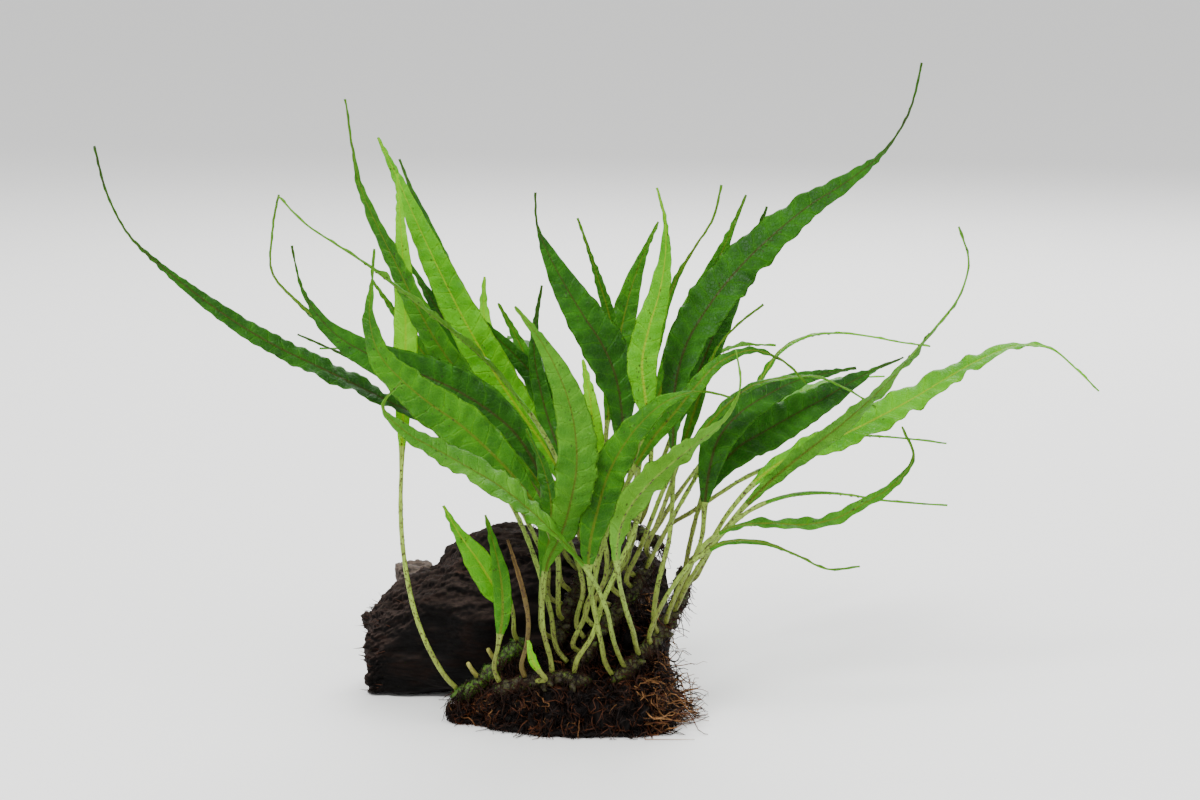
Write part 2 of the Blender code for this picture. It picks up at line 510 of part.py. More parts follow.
def make_fork(log):
    """The short fork behind the log's left end, cut to the log's side."""
    line = curve_through(((-62, 36, 12), (-67, 46, 24), (-72, 52, 38)), 7)
    rings = []
    for i, centre in enumerate(line):
        radius = FORK_RADIUS - 0.16 * i * i
        ring = []
        for k in range(FORK_SIDES):
            angle = math.tau * k / FORK_SIDES
            wave = 1 + 0.10 * math.sin(2 * angle + i) + 0.05 * math.sin(4 * angle)
            tilt = 1.5 * math.sin(angle * 2 + 1) if i == len(line) - 1 else 0.0
            ring.append(centre + (radius * wave * math.cos(angle), radius * wave * math.sin(angle), tilt))
        rings.append(ring)
    fork = loft("driftwood_fork", rings, WOOD_BROWN, 0.85)
    cutter = bpy.data.objects.new("fork_cutter", log.data.copy())
    bpy.context.collection.objects.link(cutter)
    for vertex, normal in zip(cutter.data.vertices, [v.normal.copy() for v in cutter.data.vertices]):
        vertex.co += normal * 4 * FIT_GAP * MM
    cutter.hide_render = True
    cutter.display_type = "WIRE"
    cut = fork.modifiers.new("meets_log", "BOOLEAN")
    cut.operation = "DIFFERENCE"
    cut.object = cutter
    return fork


def felt_edges(x):
    """The front and back edges of the root felt at each place along it."""
    front = np.interp(x, (-54, -44, -32, -14, 6, 22, 32, 38), (-28, -33, -43, -49, -49, -45, -38, -26))
    log_front = LOG_MIDDLE_DEPTH - log_half_depth(x) * (1 + LOG_LUMPS)
    back = np.interp(x, (-54, -44, -30, 38), (-20, -17, -15, -10))
    return float(front), float(min(back, log_front - 1.5)) if x < LOG_RIGHT else float(back)


def felt_height(x, share):
    """The height of bare root felt, at a share of the way from its front edge to its back."""
    lip = np.interp(x, (-54, -40, -20, 10, 30, 38), (3, 8, 15, 16, 14, 5))
    climb = np.interp(x, (-54, -40, -26, -12, 6, 22, 32, 38), (4, 10, 20, 36, 44, 40, 28, 9))
    return float(lip * smooth(share / 0.12) + (climb - lip) * smooth((share - 0.25) / 0.75))


def stems_above(lines):
    """Places along every rhizome and frond, each with its radius."""
    for name in RHIZOMES:
        for place in curve_through(RHIZOMES[name], STATIONS):
            yield place, RHIZOME_RADIUS * (1 + RHIZOME_KNOBS)
    for frond, line in zip(FRONDS, lines):
        count = int(length_of(line) / STEM_STEP)
        for i, place in enumerate(curve_through(line, count)):
            yield place, half_width(frond, i / (count - 1))


def make_root_mat(lines):
    """The felt of roots under and between the rhizomes, flat where it rests, clear of every stem above it."""
    stems = [(place, radius) for place, radius in stems_above(lines) if place[2] < STEMS_BELOW]
    middles = np.array([place for place, _ in stems])
    radii = np.array([radius for _, radius in stems])
    rings = []
    for i in range(MAT_SECTIONS):
        x = MAT_LEFT + (MAT_RIGHT - MAT_LEFT) * i / (MAT_SECTIONS - 1)
        front, back = felt_edges(x)
        ring = [np.array([x, back, 0.0]), np.array([x, front, 0.0])]
        for k in range(MAT_COLUMNS):
            share = k / (MAT_COLUMNS - 1)
            y = front + (back - front) * share
            near = np.hypot(middles[:, 0] - x, middles[:, 1] - y) < radii + MAT_REACH
            ceiling = (middles[:, 2] - radii)[near].min(initial=math.inf) - MAT_UNDER
            ring.append(np.array([x, y, max(min(felt_height(x, share), ceiling), MAT_LEAST)]))
        rings.append(ring)
    return loft("root_mat", rings, ROOT_BROWN, 0.9)


def main():
    """Clear the scene and make every piece."""
    for leftover in list(bpy.data.objects):
        bpy.data.objects.remove(leftover)
    log = make_log()
    make_fork(log)
    for name in RHIZOMES:
        make_rhizome(name)
    lines = spread_apart([frond_line(frond) for frond in FRONDS])
    for frond, line in zip(FRONDS, lines):
        make_frond(frond, line)
    make_root_mat(lines)


if __name__ == "__main__":
    main()
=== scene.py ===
"""Looks for the java fern on driftwood: ribbed fronds, mossy rhizomes, root felt and dark driftwood.

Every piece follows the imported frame. Shapes are worked out in millimetres and made in metres.
"""

import json
import logging
import math
from dataclasses import dataclass, field
from enum import Enum

import bmesh
import bpy
import numpy as np
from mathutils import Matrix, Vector
from mathutils.bvhtree import BVHTree


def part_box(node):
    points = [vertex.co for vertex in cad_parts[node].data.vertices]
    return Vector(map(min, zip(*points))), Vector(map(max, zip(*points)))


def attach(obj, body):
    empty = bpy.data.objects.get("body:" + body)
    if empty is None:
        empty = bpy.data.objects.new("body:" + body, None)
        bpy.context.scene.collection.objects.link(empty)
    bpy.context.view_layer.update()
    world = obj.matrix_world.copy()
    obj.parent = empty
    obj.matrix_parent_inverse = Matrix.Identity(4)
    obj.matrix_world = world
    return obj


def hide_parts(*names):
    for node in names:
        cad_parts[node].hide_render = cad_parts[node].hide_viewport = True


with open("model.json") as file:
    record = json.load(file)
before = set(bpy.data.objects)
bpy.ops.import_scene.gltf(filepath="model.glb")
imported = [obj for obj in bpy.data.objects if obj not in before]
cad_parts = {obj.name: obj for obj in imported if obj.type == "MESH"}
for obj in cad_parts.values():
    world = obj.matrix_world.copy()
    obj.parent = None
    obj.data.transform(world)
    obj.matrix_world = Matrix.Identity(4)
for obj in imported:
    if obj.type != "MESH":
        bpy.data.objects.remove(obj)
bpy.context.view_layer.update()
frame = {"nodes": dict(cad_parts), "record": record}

MM = 0.001
ROOT_BODY = "root"
LOG = logging.getLogger("java_fern")
VEIN_SPACING = 6.4        # along the blade, between one side vein and the next
VEIN_LEAN = 0.55          # how far a side vein runs on towards the tip for each step away from the midrib
MAP_LENGTH = 100.0        # millimetres along a frond for one unit of its map
MAP_WIDTH = 20.0          # and across it
HALF_MAP = 10.0           # and for its half width
SPECK_COLOUR = (0.030, 0.014, 0.005)
FLAT_ENOUGH = 2e-5        # how far two normals' product may be from one on a flat cap
LEAST_CAP = 1.6           # a frond's foot cap is wider than this, and its tip cap is narrower
ROUND_RING = 2.7          # a ring narrower than this is stalk or thread, with no upper side of its own
NEAR_GROUND = 0.4         # the lowest middle line of a root
PLAIN_SHINE = 0.5         # the specular level of a surface that is neither wet nor dull

Colour = tuple[float, float, float]
Array = np.ndarray


# ---------------------------------------------------------------- numbers and curves


def ease(value: Array | float) -> Array:
    """Ease 0..1 in and out, holding the ends."""
    value = np.clip(value, 0.0, 1.0)
    return value * value * (3.0 - 2.0 * value)


def unit(vectors: Array) -> Array:
    """The vectors at length one."""
    return vectors / np.maximum(np.linalg.norm(vectors, axis=-1, keepdims=True), 1e-12)


def across_of(vectors: Array, axis: Array) -> Array:
    """The part of each vector that is square to its axis, at length one."""
    return unit(vectors - axis * np.sum(vectors * axis, axis=-1, keepdims=True))


def follow(values: Array, knots: Array, wanted: Array) -> Array:
    """Read a smooth curve through known values.

    Args:
        values: one row for each knot.
        knots: where the rows lie along the curve, rising.
        wanted: the places to read.

    Returns:
        One row for each wanted place.
    """
    slopes = np.gradient(values, knots, axis=0)
    index = np.clip(np.searchsorted(knots, wanted, side="right") - 1, 0, len(knots) - 2)
    step = (knots[index + 1] - knots[index])[:, None]
    t = ((wanted - knots[index])[:, None]) / step
    low, high = values[index], values[index + 1]
    return ((2 * t**3 - 3 * t**2 + 1) * low + (t**3 - 2 * t**2 + t) * step * slopes[index]
            + (3 * t**2 - 2 * t**3) * high + (t**3 - t**2) * step * slopes[index + 1])


def reach_of(line: Array) -> Array:
    """How far along a line each of its points is."""
    return np.concatenate([[0.0], np.cumsum(np.linalg.norm(np.diff(line, axis=0), axis=1))])


@dataclass(frozen=True)
class Ripple:
    """A smooth uneven field in space, the same each time, with values from about -1 to 1."""

    seed: int
    size: float
    octaves: int = 3
    stretch: tuple[float, float, float] = (1.0, 1.0, 1.0)

    def at(self, points: Array) -> Array:
        """Read the field.

        Args:
            points: places in millimetres, one row each.

        Returns:
            One value for each place.
        """
        rng = np.random.default_rng(self.seed)
        places = np.asarray(points, float) / np.array(self.stretch)
        total = np.zeros(len(places))
        for octave in range(self.octaves):
            waves = unit(rng.normal(size=(9, 3))) * (math.tau * 2.0**octave / self.size)
            waves *= rng.uniform(0.6, 1.4, size=(9, 1))
            phases = rng.uniform(0, math.tau, 9)
            total += np.sin(places @ waves.T + phases).sum(axis=1) / 3.6 / 1.8**octave
        return total


# ---------------------------------------------------------------- meshes


@dataclass
class Skin:
    """Points, faces, finishes and map places gathered for one piece."""

    points: list[Array] = field(default_factory=list)
    faces: list[list[int]] = field(default_factory=list)
    finishes: list[int] = field(default_factory=list)
    maps: list[Array] = field(default_factory=list)
    count: int = 0

    def add(self, points: Array, faces: list, finish: int | Array = 0, places: Array | None = None) -> None:
        """Gather one more shape.

        Args:
            points: its points in millimetres.
            faces: its faces, as lists of its own point numbers.
            finish: the finish of all of its faces, or one for each.
            places: four map values for each point, or None for zeros.
        """
        self.points.append(points)
        self.faces.extend([self.count + corner for corner in face] for face in faces)
        self.finishes.extend([finish] * len(faces) if isinstance(finish, int) else list(finish))
        self.maps.append(np.zeros((len(points), 4)) if places is None else places)
        self.count += len(points)

    def piece(self, name: str, finishes: list[bpy.types.Material]) -> bpy.types.Object:
        """Make the piece in the scene.

        Args:
            name: the piece's name.
            finishes: its materials, in the order that the faces count them.

        Returns:
            The new object, shaded smooth.
        """
        mesh = bpy.data.meshes.new(name)
        mesh.from_pydata((np.concatenate(self.points) * MM).tolist(), [], self.faces)
        mesh.polygons.foreach_set("material_index", np.array(self.finishes, np.int32))
        corners = np.empty(len(mesh.loops), np.int32)
        mesh.loops.foreach_get("vertex_index", corners)
        places = np.concatenate(self.maps)[corners].astype(np.float32)
        for number, label in enumerate(("leaf_map", "place_map")):
            layer = mesh.uv_layers.new(name=label)
            layer.data.foreach_set("uv", places[:, 2 * number : 2 * number + 2].ravel())
        for finish in finishes:
            mesh.materials.append(finish)
        mesh.shade_smooth()
        made = bpy.data.objects.new(name, mesh)
        bpy.context.collection.objects.link(made)
        return made


def tube_faces(rings: int, sides: int) -> list[list[int]]:
    """Faces of a closed tube of rings with both ends capped.

    Args:
        rings: how many rings it has.
        sides: how many points each ring holds.

    Returns:
        Quads along the tube and one many-sided face at each end, facing out.
    """
    faces = []
    for ring in range(rings - 1):
        low, high = ring * sides, (ring + 1) * sides
        for side in range(sides):
            after = (side + 1) % sides
            faces.append([low + side, low + after, high + after, high + side])
    faces.append(list(range(sides))[::-1])
    last = (rings - 1) * sides
    faces.append([last + side for side in range(sides)])
    return faces


def strand(line: Array, radii: Array, sides: int) -> tuple[Array, list[list[int]]]:
    """A thin round tube along a line.

    Args:
        line: its middle line.
        radii: its radius at each point of the line.
        sides: how many sides it has.

    Returns:
        Its points and faces.
    """
    forward = unit(np.gradient(line, axis=0))
    start = np.array([0.0, 0.0, 1.0]) if abs(forward[0][2]) < 0.8 else np.array([1.0, 0.0, 0.0])
    side = across_of(np.tile(start, (len(line), 1)), forward)
    top = np.cross(forward, side)
    angles = math.tau * np.arange(sides) / sides
    ring = side[:, None] * np.cos(angles)[None, :, None] + top[:, None] * np.sin(angles)[None, :, None]
    points = line[:, None] + ring * radii[:, None, None]
    return points.reshape(-1, 3), tube_faces(len(line), sides)


def solid_parts(node: str) -> tuple[Array, Array]:
    """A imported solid's own points, in millimetres and merged, and its triangles.

    Args:
        node: the solid's name.

    Returns:
        Its points, and three point numbers for each triangle.
    """
    mesh = frame["nodes"][node].data
    points = np.empty(len(mesh.vertices) * 3, np.float32)
    mesh.vertices.foreach_get("co", points)
    corners = np.empty(len(mesh.loops), np.int32)
    mesh.loops.foreach_get("vertex_index", corners)
    merged, index = np.unique(np.round(points.reshape(-1, 3) / MM, 3), axis=0, return_inverse=True)
    return merged, index.reshape(-1)[corners].reshape(-1, 3)


def sections_of(node: str, sides: int) -> list[Array]:
    """The rings of points that a lofted solid was skinned over, from its wide end on.

    Args:
        node: the solid's name.
        sides: how many points each of its rings holds.

    Returns:
        One block of points for each ring.
    """
    points, triangles = solid_parts(node)
    edges: dict[tuple[int, int], list[int]] = {}
    near: dict[int, set[int]] = {}
    for number, corners in enumerate(triangles):
        for a, b in zip(corners, np.roll(corners, -1)):
            edges.setdefault((min(a, b), max(a, b)), []).append(number)
            near.setdefault(a, set()).add(b)
            near.setdefault(b, set()).add(a)
    first, second, third = (points[triangles[:, k]] for k in range(3))
    normals = unit(np.cross(second - first, third - first))
    group = list(range(len(triangles)))
    for pair in edges.values():
        if len(pair) == 2 and normals[pair[0]].dot(normals[pair[1]]) > 1 - FLAT_ENOUGH:
            old, new = group[pair[0]], group[pair[1]]
            group = [new if value == old else value for value in group]
    flats = []
    for value in set(group):
        members = [number for number, owner in enumerate(group) if owner == value]
        corners = sorted(set(triangles[members].ravel().tolist()))
        if len(members) == sides - 2 and len(corners) == sides:
            flat = points[corners]
            width = np.linalg.norm(flat[:, None] - flat[None], axis=2).max()
            if width > LEAST_CAP:
                flats.append((width, corners))
    ring = set(min(flats)[1])
    seen = set(ring)
    rings = [points[sorted(ring)]]
    while True:
        ring = set().union(*(near[corner] for corner in ring)) - seen
        if len(ring) != sides:
            return rings
        seen |= ring
        rings.append(points[sorted(ring)])


def smoothed(node: str, levels: int) -> tuple[Array, list[list[int]], Array]:
    """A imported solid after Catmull-Clark smoothing.

    Args:
        node: the solid's name.
        levels: how many times it is smoothed.

    Returns:
        Its points in millimetres, its faces and its point normals.
    """
    merged, triangles = solid_parts(node)
    mesh = bpy.data.meshes.new("blank")
    mesh.from_pydata(merged.tolist(), [], triangles.tolist())
    shell = bmesh.new()
    shell.from_mesh(mesh)
    bmesh.ops.join_triangles(shell, faces=shell.faces, angle_face_threshold=math.radians(50),
                             angle_shape_threshold=math.radians(70))
    shell.to_mesh(mesh)
    shell.free()
    blank = bpy.data.objects.new("blank", mesh)
    bpy.context.collection.objects.link(blank)
    rounder = blank.modifiers.new("rounder", "SUBSURF")
    rounder.levels = levels
    rounder.render_levels = levels
    made = blank.evaluated_get(bpy.context.evaluated_depsgraph_get()).to_mesh()
    points = np.empty(len(made.vertices) * 3, np.float32)
    normals = np.empty(len(made.vertices) * 3, np.float32)
    made.vertices.foreach_get("co", points)
    made.vertex_normals.foreach_get("vector", normals)
    faces = [list(face.vertices) for face in made.polygons]
    bpy.data.objects.remove(blank)
    return points.reshape(-1, 3).astype(float), faces, normals.reshape(-1, 3).astype(float)


# ---------------------------------------------------------------- finishes


class Graph:
    """A material's node graph, built a node at a time."""

    def __init__(self, name: str) -> None:
        """Start a material with an empty graph.

        Args:
            name: the material's name.
        """
        self.material = bpy.data.materials.new(name)
        self.material.use_nodes = True
        self.nodes = self.material.node_tree.nodes
        self.links = self.material.node_tree.links
        self.nodes.clear()

    def put(self, socket: bpy.types.NodeSocket, value: object) -> None:
        """Feed a socket from another socket, or set it to a number or a colour.

        Args:
            socket: the socket to feed.
            value: another socket, a number or a colour.
        """
        if isinstance(value, bpy.types.NodeSocket):
            self.links.new(value, socket)
        elif isinstance(value, tuple) and len(value) == 3 and len(socket.default_value) == 4:
            socket.default_value = (*value, 1.0)
        else:
            socket.default_value = value

    def node(self, kind: str, inputs: dict | None = None, **settings: object) -> bpy.types.Node:
        """Add a node.

        Args:
            kind: its Blender type name.
            inputs: what feeds its sockets, by socket name or number.
            settings: its own settings.

        Returns:
            The node.
        """
        made = self.nodes.new(kind)
        for label, value in settings.items():
            setattr(made, label, value)
        for label, value in (inputs or {}).items():
            self.put(made.inputs[label], value)
        return made

    def sum(self, operation: str, *values: object) -> bpy.types.NodeSocket:
        """One step of arithmetic on up to three values."""
        return self.node("ShaderNodeMath", dict(enumerate(values)), operation=operation).outputs[0]

    def ramp(self, value: object, low: float, high: float, out_low: float = 0.0,
             out_high: float = 1.0) -> bpy.types.NodeSocket:
        """Map a value smoothly from one range to another, holding the ends."""
        inputs = {0: value, 1: low, 2: high, 3: out_low, 4: out_high}
        return self.node("ShaderNodeMapRange", inputs, interpolation_type="SMOOTHSTEP").outputs[0]

    def blend(self, share: object, first: object, second: object) -> bpy.types.NodeSocket:
        """Mix two colours.

        Args:
            share: how much of the second colour shows.
            first: the first colour.
            second: the second colour.

        Returns:
            The mixed colour.
        """
        made = self.node("ShaderNodeMix", data_type="RGBA")
        self.put(made.inputs[0], share)
        self.put(made.inputs[6], first)
        self.put(made.inputs[7], second)
        return made.outputs[2]

    def spots(self, place: object, scale: float, detail: float = 3.0,
              rough: float = 0.55) -> bpy.types.NodeSocket:
        """Soft cloudy noise."""
        inputs = {"Vector": place, "Scale": scale, "Detail": detail, "Roughness": rough}
        return self.node("ShaderNodeTexNoise", inputs).outputs[0]

    def cells(self, place: object, scale: float, feature: str) -> bpy.types.NodeSocket:
        """A cell pattern: the way to each cell's middle, or to its edge."""
        inputs = {"Vector": place, "Scale": scale}
        return self.node("ShaderNodeTexVoronoi", inputs, feature=feature).outputs["Distance"]

    def place(self, stretch: tuple[float, float, float] = (1.0, 1.0, 1.0)) -> bpy.types.NodeSocket:
        """Where the surface is in the frame, stretched."""
        where = self.node("ShaderNodeTexCoord").outputs["Object"]
        return self.node("ShaderNodeVectorMath", {0: where, 1: stretch}, operation="MULTIPLY").outputs[0]

    def bump(self, height: object, strength: float, depth: float) -> bpy.types.NodeSocket:
        """Small relief, its depth in metres."""
        inputs = {"Height": height, "Strength": strength, "Distance": depth}
        return self.node("ShaderNodeBump", inputs).outputs[0]

    def skin(self, colour: object, rough: object, shine: float,
             normal: object = None) -> bpy.types.NodeSocket:
        """The main shader of a surface.

        Args:
            colour: its colour.
            rough: how rough it is.
            shine: its specular level.
            normal: its relief, or None for a smooth surface.

        Returns:
            The shader.
        """
        inputs = {"Base Color": colour, "Roughness": rough, "Specular IOR Level": shine}
        if normal is not None:
            inputs["Normal"] = normal
        return self.node("ShaderNodeBsdfPrincipled", inputs).outputs[0]

    def surface(self, shader: bpy.types.NodeSocket) -> bpy.types.Material:
        """End the graph with its shader."""
        self.node("ShaderNodeOutputMaterial", {"Surface": shader})
        return self.material


class LeafLook(Enum):
    """The looks that a frond takes, each named for its material slot."""

    DARK = "leaf_dark"
    GREEN = "leaf_green"
    BRIGHT = "leaf_bright"
    PALE = "leaf_pale"
    YELLOW = "leaf_yellow"
    DRY = "leaf_dry"


@dataclass(frozen=True)
class LeafFinish:
    """The finish of one kind of frond: its upper side, its under side and its stalk."""

    deep: Colour
    light: Colour
    # the under side's colour: partly its own paler green, partly painted glow of light shining through the
    # leaf
    under: Colour
    glow: Colour
    rib: Colour
    stalk: Colour
    through: float = 0.30
    gloss: float = 0.42

    def materials(self, name: str) -> list[bpy.types.Material]:
        """The upper side, under side, stalk and scale materials, in the order that a frond's faces use."""
        return [self.blade(name + "_upper", True), self.blade(name + "_under", False),
                self.stem(name + "_stalk"), self.scale(name + "_scales")]

    def blade(self, name: str, upper: bool) -> bpy.types.Material:
        """One side of the blade: cloudy green, fine net, side veins, midrib and specks.

        Args:
            name: the material's name.
            upper: whether it is the upper side.

        Returns:
            The material.
        """
        g = Graph(name)
        along, off = self.leaf_places(g)
        place = g.place()
        clouds = g.spots(place, 55.0, 4.0, 0.6)
        grain = g.spots(place, 420.0, 3.0, 0.6)
        distance = g.sum("ABSOLUTE", off)
        wander = g.sum("MULTIPLY", g.spots(place, 160.0, 2.0), 0.55)
        half = g.sum("MULTIPLY", g.sum("GREATER_THAN", off, 0.0), 0.5)
        lean = g.sum("SUBTRACT", along, g.sum("MULTIPLY", distance, VEIN_LEAN))
        lean = g.sum("DIVIDE", lean, VEIN_SPACING)
        phase = g.sum("ADD", g.sum("ADD", lean, half), wander)
        vein = g.ramp(g.sum("PINGPONG", phase, 0.5), 0.0, 0.085, 1.0, 0.0)
        flat = g.node("ShaderNodeCombineXYZ", {0: g.sum("DIVIDE", along, 1.7), 1: g.sum("DIVIDE", off, 1.15)})
        net = g.ramp(g.cells(flat.outputs[0], 1.0, "DISTANCE_TO_EDGE"), 0.0, 0.13, 1.0, 0.0)
        rib_width = g.ramp(self.blade_share(g), 0.0, 1.0, 0.62, 0.16)
        rib = g.ramp(g.sum("DIVIDE", distance, rib_width), 0.45, 1.15, 1.0, 0.0)
        grid = {0: g.sum("DIVIDE", along, 2.1), 1: g.sum("DIVIDE", off, 1.6)}
        dot = g.cells(g.node("ShaderNodeCombineXYZ", grid).outputs[0], 1.0, "F1")
        chosen = g.sum("GREATER_THAN", g.spots(place, 130.0, 1.0), 0.53)
        dots = g.sum("MULTIPLY", g.ramp(dot, 0.14, 0.26, 1.0, 0.0), chosen)
        near_rib = g.ramp(distance, 0.8, 4.6, 1.0, 0.15)
        specks = g.sum("MULTIPLY", dots, near_rib)
        # the under side is paler: partly its own paler green, partly painted glow of light shining through
        # the leaf, with its net and veins painted brighter too
        base = self.under if not upper else self.deep
        pale = tuple(min(1.0, value * 1.35 + 0.02) for value in self.under) if not upper else self.light
        colour = g.blend(g.ramp(clouds, 0.34, 0.66), base, pale)
        colour = g.blend(g.sum("MULTIPLY", g.ramp(grain, 0.35, 0.75), 0.22), colour, self.light)
        cushion = g.ramp(g.sum("PINGPONG", phase, 0.5), 0.08, 0.42)
        colour = g.blend(g.sum("MULTIPLY", cushion, 0.30), colour, base)
        colour = g.blend(g.sum("MULTIPLY", net, 0.10 if upper else 0.20), colour, self.glow)
        colour = g.blend(g.sum("MULTIPLY", vein, 0.13 if upper else 0.24), colour, self.glow)
        edge = g.ramp(g.sum("DIVIDE", distance, self.half_here(g)), 0.80, 1.0)
        colour = g.blend(g.sum("MULTIPLY", edge, 0.22), colour, self.glow)
        colour = g.blend(g.sum("MULTIPLY", rib, 0.8), colour, self.rib if upper else self.stalk)
        colour = g.blend(g.sum("MULTIPLY", specks, 0.85), colour, SPECK_COLOUR)
        relief = g.sum("ADD", g.sum("MULTIPLY", net, -0.35), g.sum("MULTIPLY", vein, -0.6 if upper else 0.9))
        relief = g.sum("ADD", relief, g.sum("MULTIPLY", grain, 0.45))
        normal = g.bump(relief, 0.7, 0.00070)
        rough = g.ramp(clouds, 0.2, 0.8, self.gloss, self.gloss + 0.16) if upper else 0.62
        skin = g.skin(colour, rough, 0.22 if upper else 0.12, normal)
        through = g.node("ShaderNodeBsdfTranslucent", {"Color": g.blend(0.35, colour, self.glow)})
        both = g.node("ShaderNodeMixShader", {0: self.through, 1: skin, 2: through.outputs[0]})
        return g.surface(both.outputs[0])

    def leaf_places(self, g: Graph) -> tuple[bpy.types.NodeSocket, bpy.types.NodeSocket]:
        """How far along the frond and how far off its midrib the surface is, in millimetres.

        Args:
            g: the material's graph.

        Returns:
            Both values.
        """
        where = g.node("ShaderNodeUVMap", uv_map="leaf_map").outputs[0]
        parts = g.node("ShaderNodeSeparateXYZ", {0: where})
        along = g.sum("MULTIPLY", parts.outputs[0], MAP_LENGTH)
        off = g.sum("MULTIPLY", g.sum("SUBTRACT", parts.outputs[1], 0.5), MAP_WIDTH)
        return along, off

    def blade_share(self, g: Graph) -> bpy.types.NodeSocket:
        """How far along the blade the surface is, from 0 at its foot to 1 at its tip."""
        where = g.node("ShaderNodeUVMap", uv_map="place_map").outputs[0]
        return g.node("ShaderNodeSeparateXYZ", {0: where}).outputs[0]

    def half_here(self, g: Graph) -> bpy.types.NodeSocket:
        """Half of the blade's width where the surface is, in millimetres."""
        where = g.node("ShaderNodeUVMap", uv_map="place_map").outputs[0]
        return g.sum("MULTIPLY", g.node("ShaderNodeSeparateXYZ", {0: where}).outputs[1], HALF_MAP)

    def stem(self, name: str) -> bpy.types.Material:
        """The stalk: pale green with brown flecks, browner towards its foot.

        Args:
            name: the material's name.

        Returns:
            The material.
        """
        g = Graph(name)
        height = self.leaf_places(g)[0]
        place = g.place()
        long_place = g.place((1.0, 1.0, 0.25))
        streaks = g.spots(long_place, 700.0, 3.0)
        flecks = g.ramp(g.spots(place, 1000.0, 2.0, 0.7), 0.56, 0.63)
        uneven = g.sum("ADD", height, g.sum("MULTIPLY", g.spots(place, 90.0, 2.0), 40.0))
        tan = g.ramp(uneven, 22.0, 62.0, 0.6, 0.0)
        colour = g.blend(g.ramp(streaks, 0.3, 0.7), self.stalk, tuple(value * 0.62 for value in self.stalk))
        colour = g.blend(tan, colour, (0.105, 0.085, 0.020))
        colour = g.blend(g.sum("MULTIPLY", flecks, 0.85), colour, (0.030, 0.016, 0.006))
        normal = g.bump(g.sum("ADD", streaks, flecks), 0.5, 0.00025)
        return g.surface(g.skin(colour, 0.48, 0.2, normal))

    def scale(self, name: str) -> bpy.types.Material:
        """The small papery scales on stalk and midrib.

        Args:
            name: the material's name.

        Returns:
            The material.
        """
        g = Graph(name)
        shade = g.spots(g.place(), 900.0, 2.0)
        colour = g.blend(shade, (0.022, 0.011, 0.004), (0.085, 0.045, 0.016))
        return g.surface(g.skin(colour, 0.62, PLAIN_SHINE, g.bump(shade, 0.4, 0.0001)))


LEAF_FINISHES: dict[LeafLook, LeafFinish] = {
    LeafLook.DARK: LeafFinish((0.005, 0.048, 0.0), (0.022, 0.140, 0.0), (0.055, 0.190, 0.008),
                              (0.100, 0.400, 0.002), (0.045, 0.036, 0.003), (0.185, 0.290, 0.035)),
    LeafLook.GREEN: LeafFinish((0.013, 0.095, 0.0), (0.050, 0.225, 0.001), (0.075, 0.240, 0.008),
                               (0.190, 0.540, 0.003), (0.120, 0.160, 0.006), (0.205, 0.320, 0.040)),
    LeafLook.BRIGHT: LeafFinish((0.045, 0.240, 0.0), (0.110, 0.420, 0.0), (0.110, 0.370, 0.010),
                                (0.330, 0.740, 0.004), (0.300, 0.400, 0.006), (0.240, 0.380, 0.045)),
    LeafLook.PALE: LeafFinish((0.036, 0.170, 0.003), (0.090, 0.290, 0.009), (0.085, 0.240, 0.012),
                              (0.180, 0.480, 0.015), (0.100, 0.110, 0.006), (0.210, 0.330, 0.045)),
    LeafLook.YELLOW: LeafFinish((0.120, 0.400, 0.0), (0.230, 0.580, 0.0), (0.200, 0.500, 0.002),
                                (0.400, 0.820, 0.002), (0.320, 0.460, 0.004), (0.250, 0.370, 0.045), 0.42),
    LeafLook.DRY: LeafFinish((0.070, 0.040, 0.008), (0.130, 0.080, 0.018), (0.120, 0.080, 0.025),
                             (0.200, 0.130, 0.035), (0.060, 0.035, 0.010), (0.110, 0.072, 0.016), 0.12),
}


